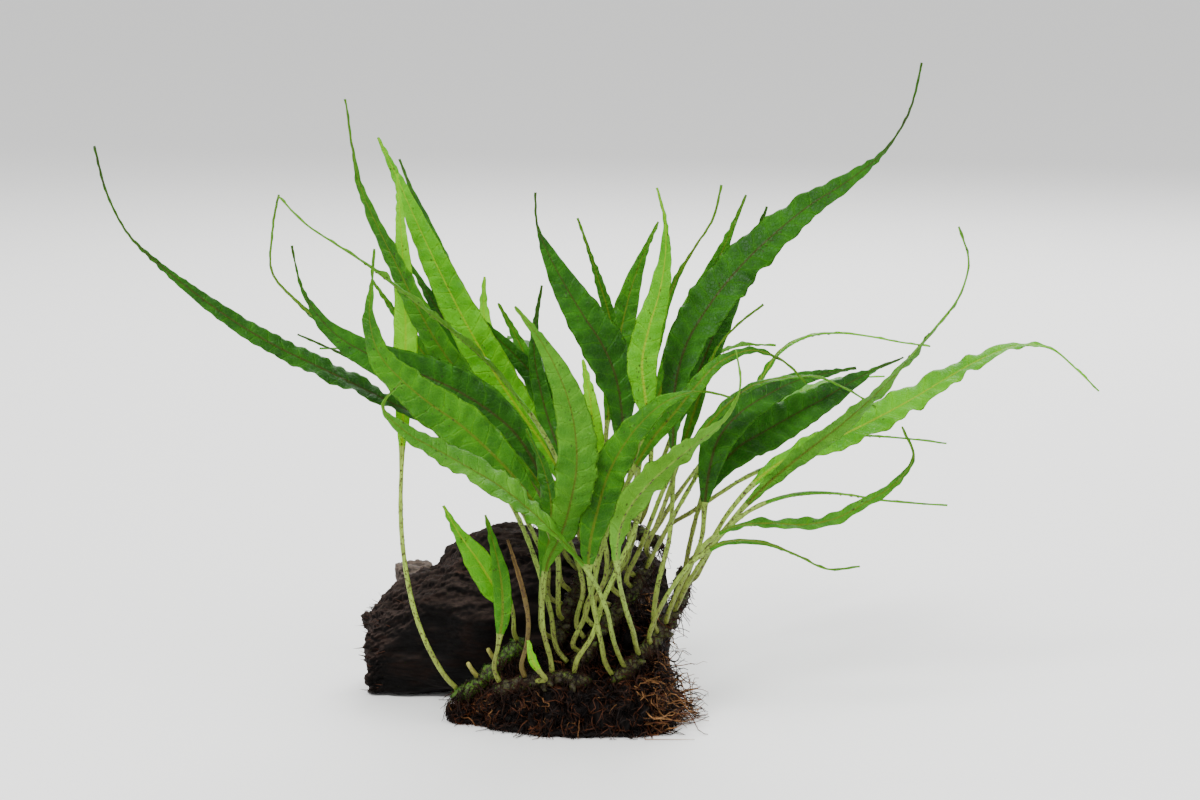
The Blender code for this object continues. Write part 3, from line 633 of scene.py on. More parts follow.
@dataclass(frozen=True)
class WoodFinish:
    """Waterlogged driftwood: nearly black grain with rusty fibres, and a painted grey highlight, streaked
    along the fibres, on surfaces facing up or left and on raised edges.
    """

    black: Colour = (0.0012, 0.0008, 0.0007)
    brown: Colour = (0.0070, 0.0030, 0.0018)
    # the colour of the painted highlight
    grey: Colour = (0.070, 0.048, 0.040)
    # how strongly the painted highlight shows
    highlight_share: float = 0.60
    shine: float = 0.07
    rusty: Colour = (0.080, 0.026, 0.011)

    def material(self, name: str) -> bpy.types.Material:
        """The wood's material: fibres run along the log, and surfaces facing up, surfaces facing left and
        raised edges are painted paler grey as a painted highlight.

        Args:
            name: the material's name.

        Returns:
            The material.
        """
        g = Graph(name)
        along = g.place((0.16, 1.0, 1.0))
        fibres = g.spots(along, 900.0, 5.0, 0.7)
        streaks = g.spots(along, 240.0, 5.0, 0.65)
        clouds = g.spots(g.place(), 38.0, 4.0, 0.6)
        facing = g.node("ShaderNodeSeparateXYZ", {0: g.node("ShaderNodeNewGeometry").outputs["Normal"]})
        # painted highlight: surfaces facing up, surfaces facing left towards the key light and raised edges
        # are painted paler grey, streaked by the fibres
        upward = g.ramp(facing.outputs[2], 0.15, 0.80)
        outward = g.ramp(g.sum("MULTIPLY", facing.outputs[0], -1.0), 0.45, 0.95, 0.0, 0.5)
        edge = g.ramp(g.node("ShaderNodeNewGeometry").outputs["Pointiness"], 0.52, 0.60, 0.0, 0.35)
        colour = g.blend(g.ramp(streaks, 0.45, 0.75), self.black, self.brown)
        shown = g.sum("ADD", g.sum("ADD", upward, outward), edge)
        painted_highlight = g.sum("MULTIPLY", shown, g.ramp(fibres, 0.30, 0.66))
        painted_highlight = g.sum("MULTIPLY", painted_highlight, g.ramp(clouds, 0.30, 0.62, 0.45, 1.0))
        colour = g.blend(g.sum("MINIMUM", g.sum("MULTIPLY", painted_highlight, self.highlight_share), 1.0), colour, self.grey)
        rust = g.sum("MULTIPLY", g.ramp(clouds, 0.58, 0.74), g.ramp(fibres, 0.48, 0.65))
        rust = g.sum("MULTIPLY", g.sum("MULTIPLY", rust, upward), 0.7)
        colour = g.blend(rust, colour, self.rusty)
        relief = g.sum("MULTIPLY", g.sum("ADD", fibres, streaks), g.ramp(shown, 0.0, 0.7, 0.25, 1.0))
        normal = g.bump(relief, 0.6, 0.0009)
        rough = g.ramp(fibres, 0.3, 0.7, 0.55, 0.90)
        return g.surface(g.skin(colour, rough, self.shine, normal))


@dataclass(frozen=True)
class RhizomeFinish:
    """A creeping stem: olive bark with dark scales, and moss over some of it."""

    bark: Colour = (0.040, 0.046, 0.003)
    moss: Colour = (0.042, 0.105, 0.002)
    dark: Colour = (0.012, 0.006, 0.002)
    moss_share: float = 0.35

    def material(self, name: str) -> bpy.types.Material:
        """The rhizome's material.

        Args:
            name: the material's name.

        Returns:
            The material.
        """
        g = Graph(name)
        place = g.place()
        patches = g.spots(place, 150.0, 4.0, 0.65)
        fine = g.spots(place, 900.0, 3.0, 0.7)
        middle = 0.78 - 0.5 * self.moss_share
        colour = g.blend(g.ramp(patches, middle - 0.12, middle + 0.12), self.bark, self.moss)
        colour = g.blend(g.ramp(fine, 0.44, 0.58), colour, self.dark)
        bare = g.ramp(g.spots(place, 75.0, 2.0), 0.44, 0.54, 0.9 - self.moss_share, 0.0)
        colour = g.blend(bare, colour, self.dark)
        light = tuple(min(1.0, value * 2.2) for value in self.bark)
        colour = g.blend(g.ramp(g.spots(place, 1500.0, 2.0), 0.62, 0.72, 0.0, 0.7), colour, light)
        normal = g.bump(g.sum("ADD", fine, patches), 0.8, 0.0006)
        return g.surface(g.skin(colour, 0.62, 0.3, normal))


@dataclass(frozen=True)
class FibreFinish:
    """Thin plant fibres, darker in some strands than in others."""

    dark: Colour
    light: Colour
    rough: float = 0.55

    def material(self, name: str) -> bpy.types.Material:
        """The fibres' material.

        Args:
            name: the material's name.

        Returns:
            The material.
        """
        g = Graph(name)
        place = g.place()
        shade = g.spots(place, 210.0, 4.0, 0.7)
        fine = g.spots(place, 1400.0, 2.0)
        colour = g.blend(g.ramp(shade, 0.36, 0.66), self.dark, self.light)
        colour = g.blend(g.sum("MULTIPLY", fine, 0.35), colour, self.dark)
        return g.surface(g.skin(colour, self.rough, 0.12, g.bump(fine, 0.4, 0.0002)))


@dataclass(frozen=True)
class FloorFinish:
    """A plain pale studio floor."""

    colour: Colour = (0.86, 0.86, 0.85)

    def material(self, name: str) -> bpy.types.Material:
        """The floor's material.

        Args:
            name: the material's name.

        Returns:
            The material.
        """
        g = Graph(name)
        return g.surface(g.skin(self.colour, 0.7, PLAIN_SHINE))


# ---------------------------------------------------------------- fronds


@dataclass
class Frond:
    """One frond, stalk and blade, skinned over the sections of its own solid."""

    name: str
    materials: list[bpy.types.Material]
    slot: str
    seed: int
    solid_sides: int = 6
    step: float = 1.25
    half_around: int = 14
    stalk_radius: float = 1.05
    scale_gap: float = 1.7

    def read_solid(self) -> tuple[Array, Array, Array, Array]:
        """The solid's middle line, half widths, upper side directions and reach, ring by ring.

        Returns:
            The four of them, one row for each ring.
        """
        rings = sections_of(self.name, self.solid_sides)
        middle = np.array([ring.mean(axis=0) for ring in rings])
        forward = unit(np.gradient(middle, axis=0))
        halves, uppers = [], []
        for ring, ahead in zip(rings, forward):
            gaps = np.linalg.norm(ring[:, None] - ring[None], axis=2)
            a, b = np.unravel_index(gaps.argmax(), gaps.shape)
            halves.append(gaps[a, b] / 2)
            if gaps[a, b] < ROUND_RING:
                uppers.append(None)
                continue
            others = np.delete(ring, [a, b], axis=0).mean(axis=0) - (ring[a] + ring[b]) / 2
            rise = unit(np.cross(ahead, ring[b] - ring[a]))
            uppers.append(-rise if others.dot(rise) > 0 else rise)
        known = [i for i, upper in enumerate(uppers) if upper is not None]
        for i in range(len(uppers)):
            if uppers[i] is None:
                facing_front = np.array([0.0, -1.0, 0.2])
                near = uppers[min(known, key=lambda k: abs(k - i))] if known else facing_front
                uppers[i] = across_of(np.array(near), forward[i])
        return middle, np.array(halves), np.array(uppers), reach_of(middle)

    def stations(self) -> dict[str, Array]:
        """Even places along the frond, with the direction, width and share of blade at each.

        Returns:
            One array for each of these, by name.
        """
        middle, halves, uppers, knots = self.read_solid()
        count = int(np.clip(knots[-1] / self.step, 50, 185))
        reach = np.linspace(0, knots[-1], count)
        line = follow(middle, knots, reach)
        half = np.maximum(follow(halves[:, None], knots, reach)[:, 0], 0.42)
        forward = unit(np.gradient(line, axis=0))
        upper = across_of(follow(uppers, knots, reach), forward)
        wide = np.flatnonzero(half > self.stalk_radius * 1.30)
        start = reach[wide[0]] if len(wide) else knots[-1] * 0.6
        share = np.clip((reach - start) / (knots[-1] - start), 0, 1)
        flat = ease(np.maximum(half - self.stalk_radius, share * 2.2) / 1.3)
        flat = np.where(share > 0, flat * ease((reach - start) / 9.0 + 0.2), 0.0)
        return {"line": line, "half": half, "forward": forward, "upper": upper,
                "across": np.cross(forward, upper), "flat": flat, "share": share, "reach": reach}

    def rings(self, at: dict[str, Array]) -> tuple[Array, Array]:
        """The frond's surface.

        Args:
            at: the stations that it is skinned over.

        Returns:
            Its points, station by station, and the map place of each.
        """
        around = self.half_around
        turn = math.pi * np.arange(2 * around) / around
        upper_side = np.arange(2 * around) <= around
        ramp = np.arange(2 * around) / around
        v = np.where(upper_side, -1 + 2 * ramp, 3 - 2 * ramp)[None]
        side = np.where(upper_side, 1.0, -1.0)[None]
        half, flat = at["half"][:, None], at["flat"][:, None]
        reach, share = at["reach"][:, None], at["share"][:, None]
        swell = np.clip(half / 7.0, 0.0, 1.15)
        off = np.abs(v) * half
        lean = (reach - VEIN_LEAN * off) / VEIN_SPACING + np.where(v > 0, 0.5, 0.0)
        wave = self.wave(reach, 31.0, 1) * 0.5 + self.wave(reach, 13.0, 2) * 0.3
        narrow = ease((2.6 - half) / 1.8)
        lobes = 0.014 * np.cos(math.tau * lean) + 0.030 * self.wave(reach + 40 * (v > 0), 11.0, 3)
        lobes = lobes + narrow * 0.26 * self.wave(reach + 23 * (v > 0), 4.6, 7)
        width = half * (1 + lobes * flat)
        hump = np.sin(math.pi * np.clip(np.abs(v), 0, 1) ** 0.8)
        lean = lean + 0.22 * self.wave(reach + 61 * (v > 0), 19.0, 8)
        quilt = 0.72 * swell * hump * (0.5 - 0.5 * np.cos(math.tau * lean)) ** 0.7
        frill = np.abs(v) ** 2.4 * (0.25 + swell) * (
            1.05 * self.wave(reach + 17 * (v > 0), 15.0, 4)
            + 0.70 * self.wave(reach + 29 * (v > 0), 6.5, 5))
        fold = (0.12 + 0.07 * wave) * np.abs(v) ** 1.4 * half
        thick = 0.05 + 0.13 * (1 - np.abs(v) ** 3)
        rib = np.exp(-((v * half / 0.62) ** 2)) * (1 - 0.55 * share)
        rise = fold + quilt + frill + side * thick + np.where(side > 0, -0.10, -0.62) * rib
        bead = 1 + 0.06 * self.wave(reach, 9.0, 6)
        round_x = -np.cos(turn)[None] * half * bead * 0.76
        round_z = np.sin(turn)[None] * np.minimum(half, self.stalk_radius * 1.1) * bead * 0.76
        groove = -0.22 * half * np.exp(-((np.cos(turn)[None] / 0.35) ** 2)) * (side > 0) * (share < 0.05)
        x = (1 - flat) * round_x + flat * v * width
        z = (1 - flat) * (round_z + groove) + flat * rise
        sideways, upwards = at["across"][:, None] * x[..., None], at["upper"][:, None] * z[..., None]
        points = at["line"][:, None] + sideways + upwards
        maps = reach / MAP_LENGTH, x / MAP_WIDTH + 0.5, share, width / HALF_MAP
        places = np.stack(np.broadcast_arrays(*maps), axis=-1)
        return points, places

    def wave(self, reach: Array, length: float, number: int) -> Array:
        """An uneven wave along the frond, this frond's own.

        Args:
            reach: where along the frond to read it.
            length: about how long one wave is.
            number: which of the frond's waves it is.

        Returns:
            Values from about -1 to 1.
        """
        rng = np.random.default_rng(self.seed * 31 + number)
        turns = rng.uniform(0.75, 1.3, 3) * math.tau / length
        starts = rng.uniform(0, math.tau, 3)
        return sum(np.sin(reach * turn + start) for turn, start in zip(turns, starts)) / 2.2

    def skin_faces(self, at: dict[str, Array]) -> tuple[list[list[int]], list[int]]:
        """The frond's faces, and whether each is upper side, under side or stalk.

        Args:
            at: the frond's stations.

        Returns:
            The faces, and the number of each one's finish.
        """
        around = 2 * self.half_around
        count = len(at["reach"])
        faces = tube_faces(count, around)
        finishes = []
        for station in range(count - 1):
            blade = at["share"][station] > 0.015
            finishes.extend((0 if side < self.half_around else 1) if blade else 2 for side in range(around))
        return faces, [*finishes, 2, 2]

    def add_scales(self, skin: Skin, at: dict[str, Array]) -> None:
        """Scatter small brown scales over the stalk and along the under side of the midrib.

        Args:
            skin: the frond's skin, which the scales join.
            at: the frond's stations.
        """
        rng = np.random.default_rng(self.seed + 700)
        reach = at["reach"]
        stalk_end = reach[-1] * 0.75
        spot = 1.0
        while spot < stalk_end:
            share = float(np.interp(spot, reach, at["share"]))
            spot += self.scale_gap * rng.uniform(0.35, 1.3) * (1 + 3.0 * share)
            i = int(np.clip(np.searchsorted(reach, spot), 1, len(reach) - 2))
            angle = rng.uniform(0, math.tau)
            out = at["across"][i] * math.cos(angle) + at["upper"][i] * math.sin(angle)
            if at["flat"][i] > 0.15:
                out = -at["upper"][i] + at["across"][i] * rng.uniform(-0.35, 0.35)
                lift = 0.68
            else:
                lift = min(at["half"][i], self.stalk_radius * 1.1) * 0.73
            forward = at["forward"][i]
            side = np.cross(forward, out)
            long, broad = rng.uniform(0.35, 0.85), rng.uniform(0.14, 0.30)
            root = at["line"][i] + out * lift
            points = np.array([root - forward * long, root - side * broad, root + side * broad,
                               root + forward * long + out * 0.12, root + out * 0.16, root - out * 0.2])
            faces = [[0, 2, 4], [2, 3, 4], [3, 1, 4], [1, 0, 4], [2, 0, 5], [3, 2, 5], [1, 3, 5], [0, 1, 5]]
            skin.add(points, faces, 3)

    def build(self) -> bpy.types.Object:
        """Make the frond and set it in its solid's place.

        Returns:
            The piece.
        """
        at = self.stations()
        points, places = self.rings(at)
        skin = Skin()
        faces, finishes = self.skin_faces(at)
        skin.add(points.reshape(-1, 3), faces, finishes, places.reshape(-1, 4))
        self.add_scales(skin, at)
        piece = skin.piece(self.name + "_leaf", self.materials)
        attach(piece, ROOT_BODY)
        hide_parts(self.name)
        return piece


# ---------------------------------------------------------------- rhizomes and roots


@dataclass
class Rhizome:
    """A creeping stem with knobs, cut stalk stubs, short shoots, moss and thin roots."""

    name: str
    materials: list[bpy.types.Material]
    seed: int
    solid_sides: int = 8
    sides: int = 28
    step: float = 0.6
    stubs: tuple[tuple[float, float, float], ...] = ()
    buds: int = 4
    tufts: int = 140
    wraps: int = 260
    hairs: int = 300

    def build(self) -> bpy.types.Object:
        """Make the rhizome over its own solid.

        Returns:
            The piece.
        """
        rings = sections_of(self.name, self.solid_sides)
        middle = np.array([ring.mean(axis=0) for ring in rings])
        radii = np.array([np.linalg.norm(ring - centre, axis=1).mean()
                          for ring, centre in zip(rings, middle)])
        knots = reach_of(middle)
        reach = np.linspace(0, knots[-1], int(knots[-1] / self.step))
        line = follow(middle, knots, reach)
        radius = follow(radii[:, None], knots, reach)[:, 0]
        rounding = np.sqrt(np.clip(np.minimum(reach, knots[-1] - reach) / 2.6 + 0.03, 0.03, 1))
        points, faces = strand(line, radius * rounding, self.sides)
        centres = np.repeat(line, self.sides, axis=0)
        out = unit(points - centres)
        knobs = Ripple(self.seed, 7.0, 3).at(points) * 0.42 + Ripple(self.seed + 1, 2.2, 2).at(points) * 0.16
        rounded = np.repeat(rounding, self.sides)
        points = points + out * (knobs * rounded)[:, None]
        skin = Skin()
        skin.add(points, faces, 0)
        self.add_stubs(skin, line, radius)
        self.add_buds(skin, line, radius)
        self.add_moss(skin, points, out)
        self.add_wraps(skin, points, out)
        self.add_hairs(skin, points, out)
        piece = skin.piece(self.name + "_stem", self.materials)
        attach(piece, ROOT_BODY)
        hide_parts(self.name)
        return piece

    def add_stubs(self, skin: Skin, line: Array, radius: Array) -> None:
        """Stand the old cut stalks on the rhizome, each by its share along, its lean and its length.

        Args:
            skin: the rhizome's skin.
            line: its middle line.
            radius: its radius at each point of the line.
        """
        for share, lean, long in self.stubs:
            i = int(len(line) * share)
            ahead = unit(line[min(i + 1, len(line) - 1)] - line[i - 1])
            out = across_of(np.array([lean, -0.25, 1.0]), ahead)
            steps = np.linspace(0, 1, 9)[:, None]
            stub = line[i] + out * (radius[i] * 0.6 + steps * long) + ahead * steps**2 * 0.8
            widths = 1.0 - 0.28 * steps[:, 0] + 0.06 * np.sin(steps[:, 0] * 17)
            skin.add(*strand(stub, widths, 12), 1)

    def add_buds(self, skin: Skin, line: Array, radius: Array) -> None:
        """Push short fat shoots out of the rhizome's front.

        Args:
            skin: the rhizome's skin.
            line: its middle line.
            radius: its radius at each point of the line.
        """
        rng = np.random.default_rng(self.seed + 5)
        for share in rng.uniform(0.1, 0.85, self.buds):
            i = int(len(line) * share)
            ahead = unit(line[i + 1] - line[i])
            out = across_of(np.array([rng.uniform(-0.6, 0.6), -1.0, rng.uniform(-0.7, 0.2)]), ahead)
            steps = np.linspace(0, 1, 8)[:, None]
            shoot = line[i] + out * (radius[i] * 0.5 + steps * rng.uniform(2.6, 4.6)) - ahead * steps**2 * 1.2
            widths = 1.25 * np.sqrt(np.clip(1.06 - steps[:, 0] ** 2.5, 0.05, 1))
            skin.add(*strand(shoot, widths, 12), 0)

    def add_moss(self, skin: Skin, points: Array, out: Array) -> None:
        """Cover the rhizome with short tufts of moss leaves.

        Args:
            skin: the rhizome's skin.
            points: the bark's points.
            out: which way is out at each.
        """
        rng = np.random.default_rng(self.seed + 9)
        for index in rng.integers(0, len(points), self.tufts):
            lean = unit(out[index] + rng.normal(size=3) * 0.55)
            side = across_of(rng.normal(size=3), lean)
            long, broad = rng.uniform(0.5, 1.35), rng.uniform(0.10, 0.20)
            root = points[index] - out[index] * 0.1
            thick = np.cross(lean, side) * 0.05
            leaf = np.array([root - side * broad, root + side * broad, root + thick,
                             root + lean * long * 0.6 + side * broad * 0.6, root + lean * long])
            faces = [[0, 2, 1], [0, 1, 3], [0, 3, 4], [1, 2, 3], [2, 4, 3], [2, 0, 4]]
            skin.add(leaf, faces, 2)

    def add_wraps(self, skin: Skin, points: Array, out: Array) -> None:
        """Lay thin dark roots over the rhizome, each partly round it and partly along it.

        Args:
            skin: the rhizome's skin.
            points: the bark's points.
            out: which way is out at each.
        """
        rng = np.random.default_rng(self.seed + 17)
        rings, count = len(points) // self.sides, 9
        for _ in range(self.wraps):
            start, turn = rng.uniform(0, rings - 1), rng.uniform(0, self.sides)
            along = np.clip(start + np.linspace(0, rng.uniform(-9, 9), count), 0, rings - 1)
            along = along.round().astype(int)
            around = (turn + np.linspace(0, rng.uniform(-14, 14), count)).round().astype(int) % self.sides
            index = along * self.sides + around
            arch = np.sin(np.linspace(0, math.pi, count))[:, None] * rng.uniform(0.1, 0.9)
            line = points[index] + out[index] * (0.1 + arch)
            line[1:-1] = (line[:-2] + line[1:-1] + line[2:]) / 3
            skin.add(*strand(line, rng.uniform(0.14, 0.26) * np.linspace(1, 0.5, count), 3), 3)

    def add_hairs(self, skin: Skin, points: Array, out: Array) -> None:
        """Let thin dark roots hang from the rhizome down into the felt.

        Args:
            skin: the rhizome's skin.
            points: the bark's points.
            out: which way is out at each.
        """
        rng = np.random.default_rng(self.seed + 13)
        count = 8
        for index in rng.integers(0, len(points), self.hairs):
            heading = rng.normal(size=3) * 0.5
            heading = unit(np.array([heading[0], heading[1] - 0.1, -0.55 - abs(heading[2])]))
            steps = np.linspace(0, 1, count)[:, None]
            side = across_of(rng.normal(size=3), heading)
            long = rng.uniform(3.5, 9.5)
            line = points[index] - out[index] * 0.3 + heading * steps * long
            line = line + side * np.sin(steps * rng.uniform(1.5, 4.5)) * rng.uniform(-0.3, 0.3) * long
            line = line + np.cumsum(rng.normal(size=(count, 3)) * 0.22, axis=0) * steps
            line[:, 2] = np.maximum(line[:, 2], NEAR_GROUND)
            skin.add(*strand(line, rng.uniform(0.15, 0.28) * (1 - 0.6 * steps[:, 0]), 3), 3)


@dataclass
class RootFelt:
    """A felt of fine roots: a bed that follows its solid, near-black for its dark roots and for the painted
    shade deep in the tangle, with single roots all over it.
    """

    name: str
    piece_name: str
    materials: list[bpy.types.Material]
    seed: int
    roots: int = 1750
    fringe: int = 460
    loops: int = 190
    points_each: int = 9
    dense_to: float = 50.0
    loose_from: float = 46.0

    def build(self) -> bpy.types.Object:
        """Make the felt over its own solid.

        Returns:
            The piece.
        """
        rng = np.random.default_rng(self.seed)
        low, high = (np.array(corner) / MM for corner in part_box(self.name))
        points, faces, normals = smoothed(self.name, 3)
        rough = Ripple(self.seed, 11.0, 4).at(points) * 1.5 + Ripple(self.seed + 1, 2.6, 3).at(points) * 0.6
        foot = ease((points[:, 2] - 0.2) / 1.2)
        sides = 1 - np.clip(normals[:, 2], 0, 1)
        bed = points + normals * ((1.3 * rough - 0.4 - 2.2 * sides) * foot)[:, None]
        beyond = np.maximum(bed[:, 0] - self.dense_to, 0)
        bed[:, 0] -= beyond * 0.55
        bed[:, 2] *= 1 - 0.5 * ease(beyond / 14)
        rise = np.clip(bed[:, 2] / high[2], 0, 1)
        middle = (low[1] + high[1]) / 2
        bed[:, 1] = middle + (bed[:, 1] - middle) * (1 - 0.16 * rise)
        bed[:, 2] = np.maximum(bed[:, 2], 0.05)
        skin = Skin()
        # the bed takes the first finish: near-black, the dark roots' own colour with painted shade deep in
        # the tangle
        skin.add(bed, faces, 0)
        tree = BVHTree.FromPolygons([tuple(point) for point in bed], faces)
        shown = np.flatnonzero((normals[:, 2] > -0.3) & (bed[:, 2] > 0.5))
        for index in rng.choice(shown, self.roots):
            loose = bed[index][0] > self.loose_from
            line = self.creep(rng, tree, bed[index], normals[index], 1.5 if loose else 1.0)
            self.add_root(skin, rng, line, low, high, loose)
        rim = shown[(sides[shown] > 0.35) & (bed[shown, 2] < high[2] * 0.7)]
        for index in rng.choice(rim, self.fringe):
            self.add_root(skin, rng, self.stray(rng, bed[index], normals[index]), low, high, False)
        right = shown[bed[shown, 0] > self.loose_from]
        for index in rng.choice(right, self.loops):
            self.add_root(skin, rng, self.loop(rng, bed[index]), low, high, True)
        piece = skin.piece(self.piece_name, self.materials)
        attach(piece, ROOT_BODY)
        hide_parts(self.name)
        return piece

    def creep(self, rng: np.random.Generator, tree: BVHTree, start: Array, normal: Array,
              lift: float) -> Array:
        """Let one root wander over the bed.

        Args:
            rng: the felt's random numbers.
            tree: the bed's surface.
            start: where the root leaves the bed.
            normal: which way is out there.
            lift: how far it stands off the bed, as a share of the usual.

        Returns:
            The root's line.
        """
        out_of_middle = np.array([start[0] * 0.012, -0.5, -0.75])
        heading = across_of(out_of_middle + rng.normal(size=3) * 0.75, normal)
        step = rng.uniform(0.8, 2.1)
        spot, line = start.copy(), []
        height = rng.uniform(-0.2, 1.0) * lift
        bulge = rng.uniform(0.3, 1.8) * lift
        for number in range(self.points_each):
            found, facing, _, _ = tree.find_nearest(spot)
            normal = np.array(facing)
            arch = bulge * math.sin(math.pi * number / (self.points_each - 1))
            line.append(np.array(found) + normal * (height + arch))
            heading = across_of(heading + rng.normal(size=3) * 0.42, normal)
            spot = np.array(found) + heading * step
        return np.array(line)

    def stray(self, rng: np.random.Generator, start: Array, normal: Array) -> Array:
        """One root that leaves the felt's side and droops to the ground.

        Args:
            rng: the felt's random numbers.
            start: where it leaves the felt.
            normal: which way is out there.

        Returns:
            The root's line.
        """
        steps = np.linspace(0, 1, self.points_each)[:, None]
        heading = unit(normal * 0.8 + rng.normal(size=3) * 0.75 + np.array([0.0, 0.0, 0.1]))
        long = rng.uniform(2.5, 8.0)
        line = start + heading * steps * long - np.array([0.0, 0.0, 1.0]) * steps**2 * long * 0.6
        return line + np.cumsum(rng.normal(size=(self.points_each, 3)) * 0.3, axis=0) * steps

    def loop(self, rng: np.random.Generator, start: Array) -> Array:
        """One loose root that stands out to the right of the felt and curls back.

        Args:
            rng: the felt's random numbers.
            start: where it leaves the felt.

        Returns:
            The root's line.
        """
        steps = np.linspace(0, 1, self.points_each)[:, None]
        heading = unit(np.array([1.0, rng.uniform(-0.8, 0.5), rng.uniform(-0.75, 0.35)]))
        side = across_of(rng.normal(size=3), heading)
        long = rng.uniform(4.0, 17.0)
        curl = rng.uniform(-1, 1) * long * 0.5
        line = start + heading * steps * long + side * np.sin(steps * rng.uniform(2.0, 6.0)) * curl
        return line + np.cumsum(rng.normal(size=(self.points_each, 3)) * 0.55, axis=0) * steps

    def add_root(self, skin: Skin, rng: np.random.Generator, line: Array, low: Array, high: Array,
                 loose: bool) -> None:
        """Add one tapering root, kept within the felt's own box.

        Args:
            skin: the felt's skin.
            rng: the felt's random numbers.
            line: the root's line.
            low: the felt's lowest corner.
            high: the felt's highest corner.
            loose: whether it is one of the loose roots.
        """
        thick = rng.uniform(0.22, 0.38) if loose else rng.uniform(0.15, 0.33)
        line = np.clip(line, low + (-1.2, -1.2, 0.42), high + (1.0, 1.0, 3.0))
        radii = thick * (1 - 0.65 * np.linspace(0, 1, len(line)))
        tan_odds = 0.28 if loose else 0.04
        kind = rng.random()
        finish = 3 if kind < tan_odds else 2 if kind < tan_odds + 0.24 else 1
        skin.add(*strand(line, radii, 3), finish)


# ---------------------------------------------------------------- driftwood


@dataclass
class Driftwood:
    """One piece of the driftwood, carved out of its own solid."""

    name: str
    piece_name: str
    materials: list[bpy.types.Material]
    seed: int
    levels: int = 3
    grain: float = 0.26
    knots: float = 1.3
    crumble: float = 0.0
    splinters: int = 0

    def build(self) -> bpy.types.Object:
        """Make the wood: a smoothed copy of the solid, then furrows, pits and splinters.

        Returns:
            The piece.
        """
        points, faces, normals = smoothed(self.name, self.levels)
        low, high = points.min(axis=0), points.max(axis=0)
        along = (points[:, 0] - low[0]) / (high[0] - low[0])
        furrow = Ripple(self.seed, 3.4, 4, (7.0, 1.0, 1.0)).at(points)
        lumps = Ripple(self.seed + 1, 26.0, 3, (1.8, 1.0, 1.0)).at(points)
        pits = Ripple(self.seed + 2, 7.0, 3, (2.2, 1.0, 1.0)).at(points)
        crumbs = Ripple(self.seed + 3, 1.9, 2).at(points)
        broken = self.crumble * ease(1 - along / 0.13)
        raised = ease((normals[:, 2] - 0.1) / 0.6)
        chunks = np.round(Ripple(self.seed + 4, 9.0, 3).at(points) * 2.2) / 2.2
        move = self.grain * furrow * (0.25 + raised) + self.knots * lumps
        move = move - (0.3 + raised) * np.clip(pits - 0.55, 0, 1)
        move = move + (0.02 + 0.26 * raised) * crumbs + raised * 1.1 * pits
        move = move + broken * (0.35 * crumbs + 1.2 * chunks) + 0.6
        foot = ease((points[:, 2] - 0.2) / 3.0)
        points = points + normals * (move * foot)[:, None]
        points[:, 2] = np.maximum(points[:, 2], 0.0)
        skin = Skin()
        skin.add(points, faces, 0)
        if self.splinters:
            self.add_splinters(skin, points, normals, along)
        piece = skin.piece(self.piece_name, self.materials)
        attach(piece, ROOT_BODY)
        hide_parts(self.name)
        return piece

    def add_splinters(self, skin: Skin, points: Array, normals: Array, along: Array) -> None:
        """Raise torn fibres over the broken end and the top edge.

        Args:
            skin: the wood's skin.
            points: its points.
            normals: which way is out at each.
            along: how far along the log each is, from 0 to 1.
        """
        rng = np.random.default_rng(self.seed + 20)
        odds = ease(1 - along / 0.14) * 0.5 + 0.12 * (normals[:, 2] > 0.45) * (along < 0.75)
        odds = odds * (points[:, 2] > 2.0)
        for index in rng.choice(len(points), self.splinters, p=odds / odds.sum()):
            torn = along[index] < 0.13
            heading = np.array([-1.0, 0.0, 0.15]) if torn else np.array([rng.choice([-1.0, 1.0]), 0.0, 0.1])
            heading = unit(heading + normals[index] * (0.40 if torn else 0.12) + rng.normal(size=3) * 0.2)
            long = rng.uniform(1.2, 4.2) if torn else rng.uniform(2.5, 7.0)
            steps = np.linspace(0, 1, 5)[:, None]
            line = points[index] - normals[index] * 0.3 + heading * steps * long
            line = line + rng.normal(size=3) * steps**2 * 0.5
            radii = rng.uniform(0.10, 0.30) * (1.05 - steps[:, 0])
            skin.add(*strand(line, radii, 4), 1)


# ---------------------------------------------------------------- studio


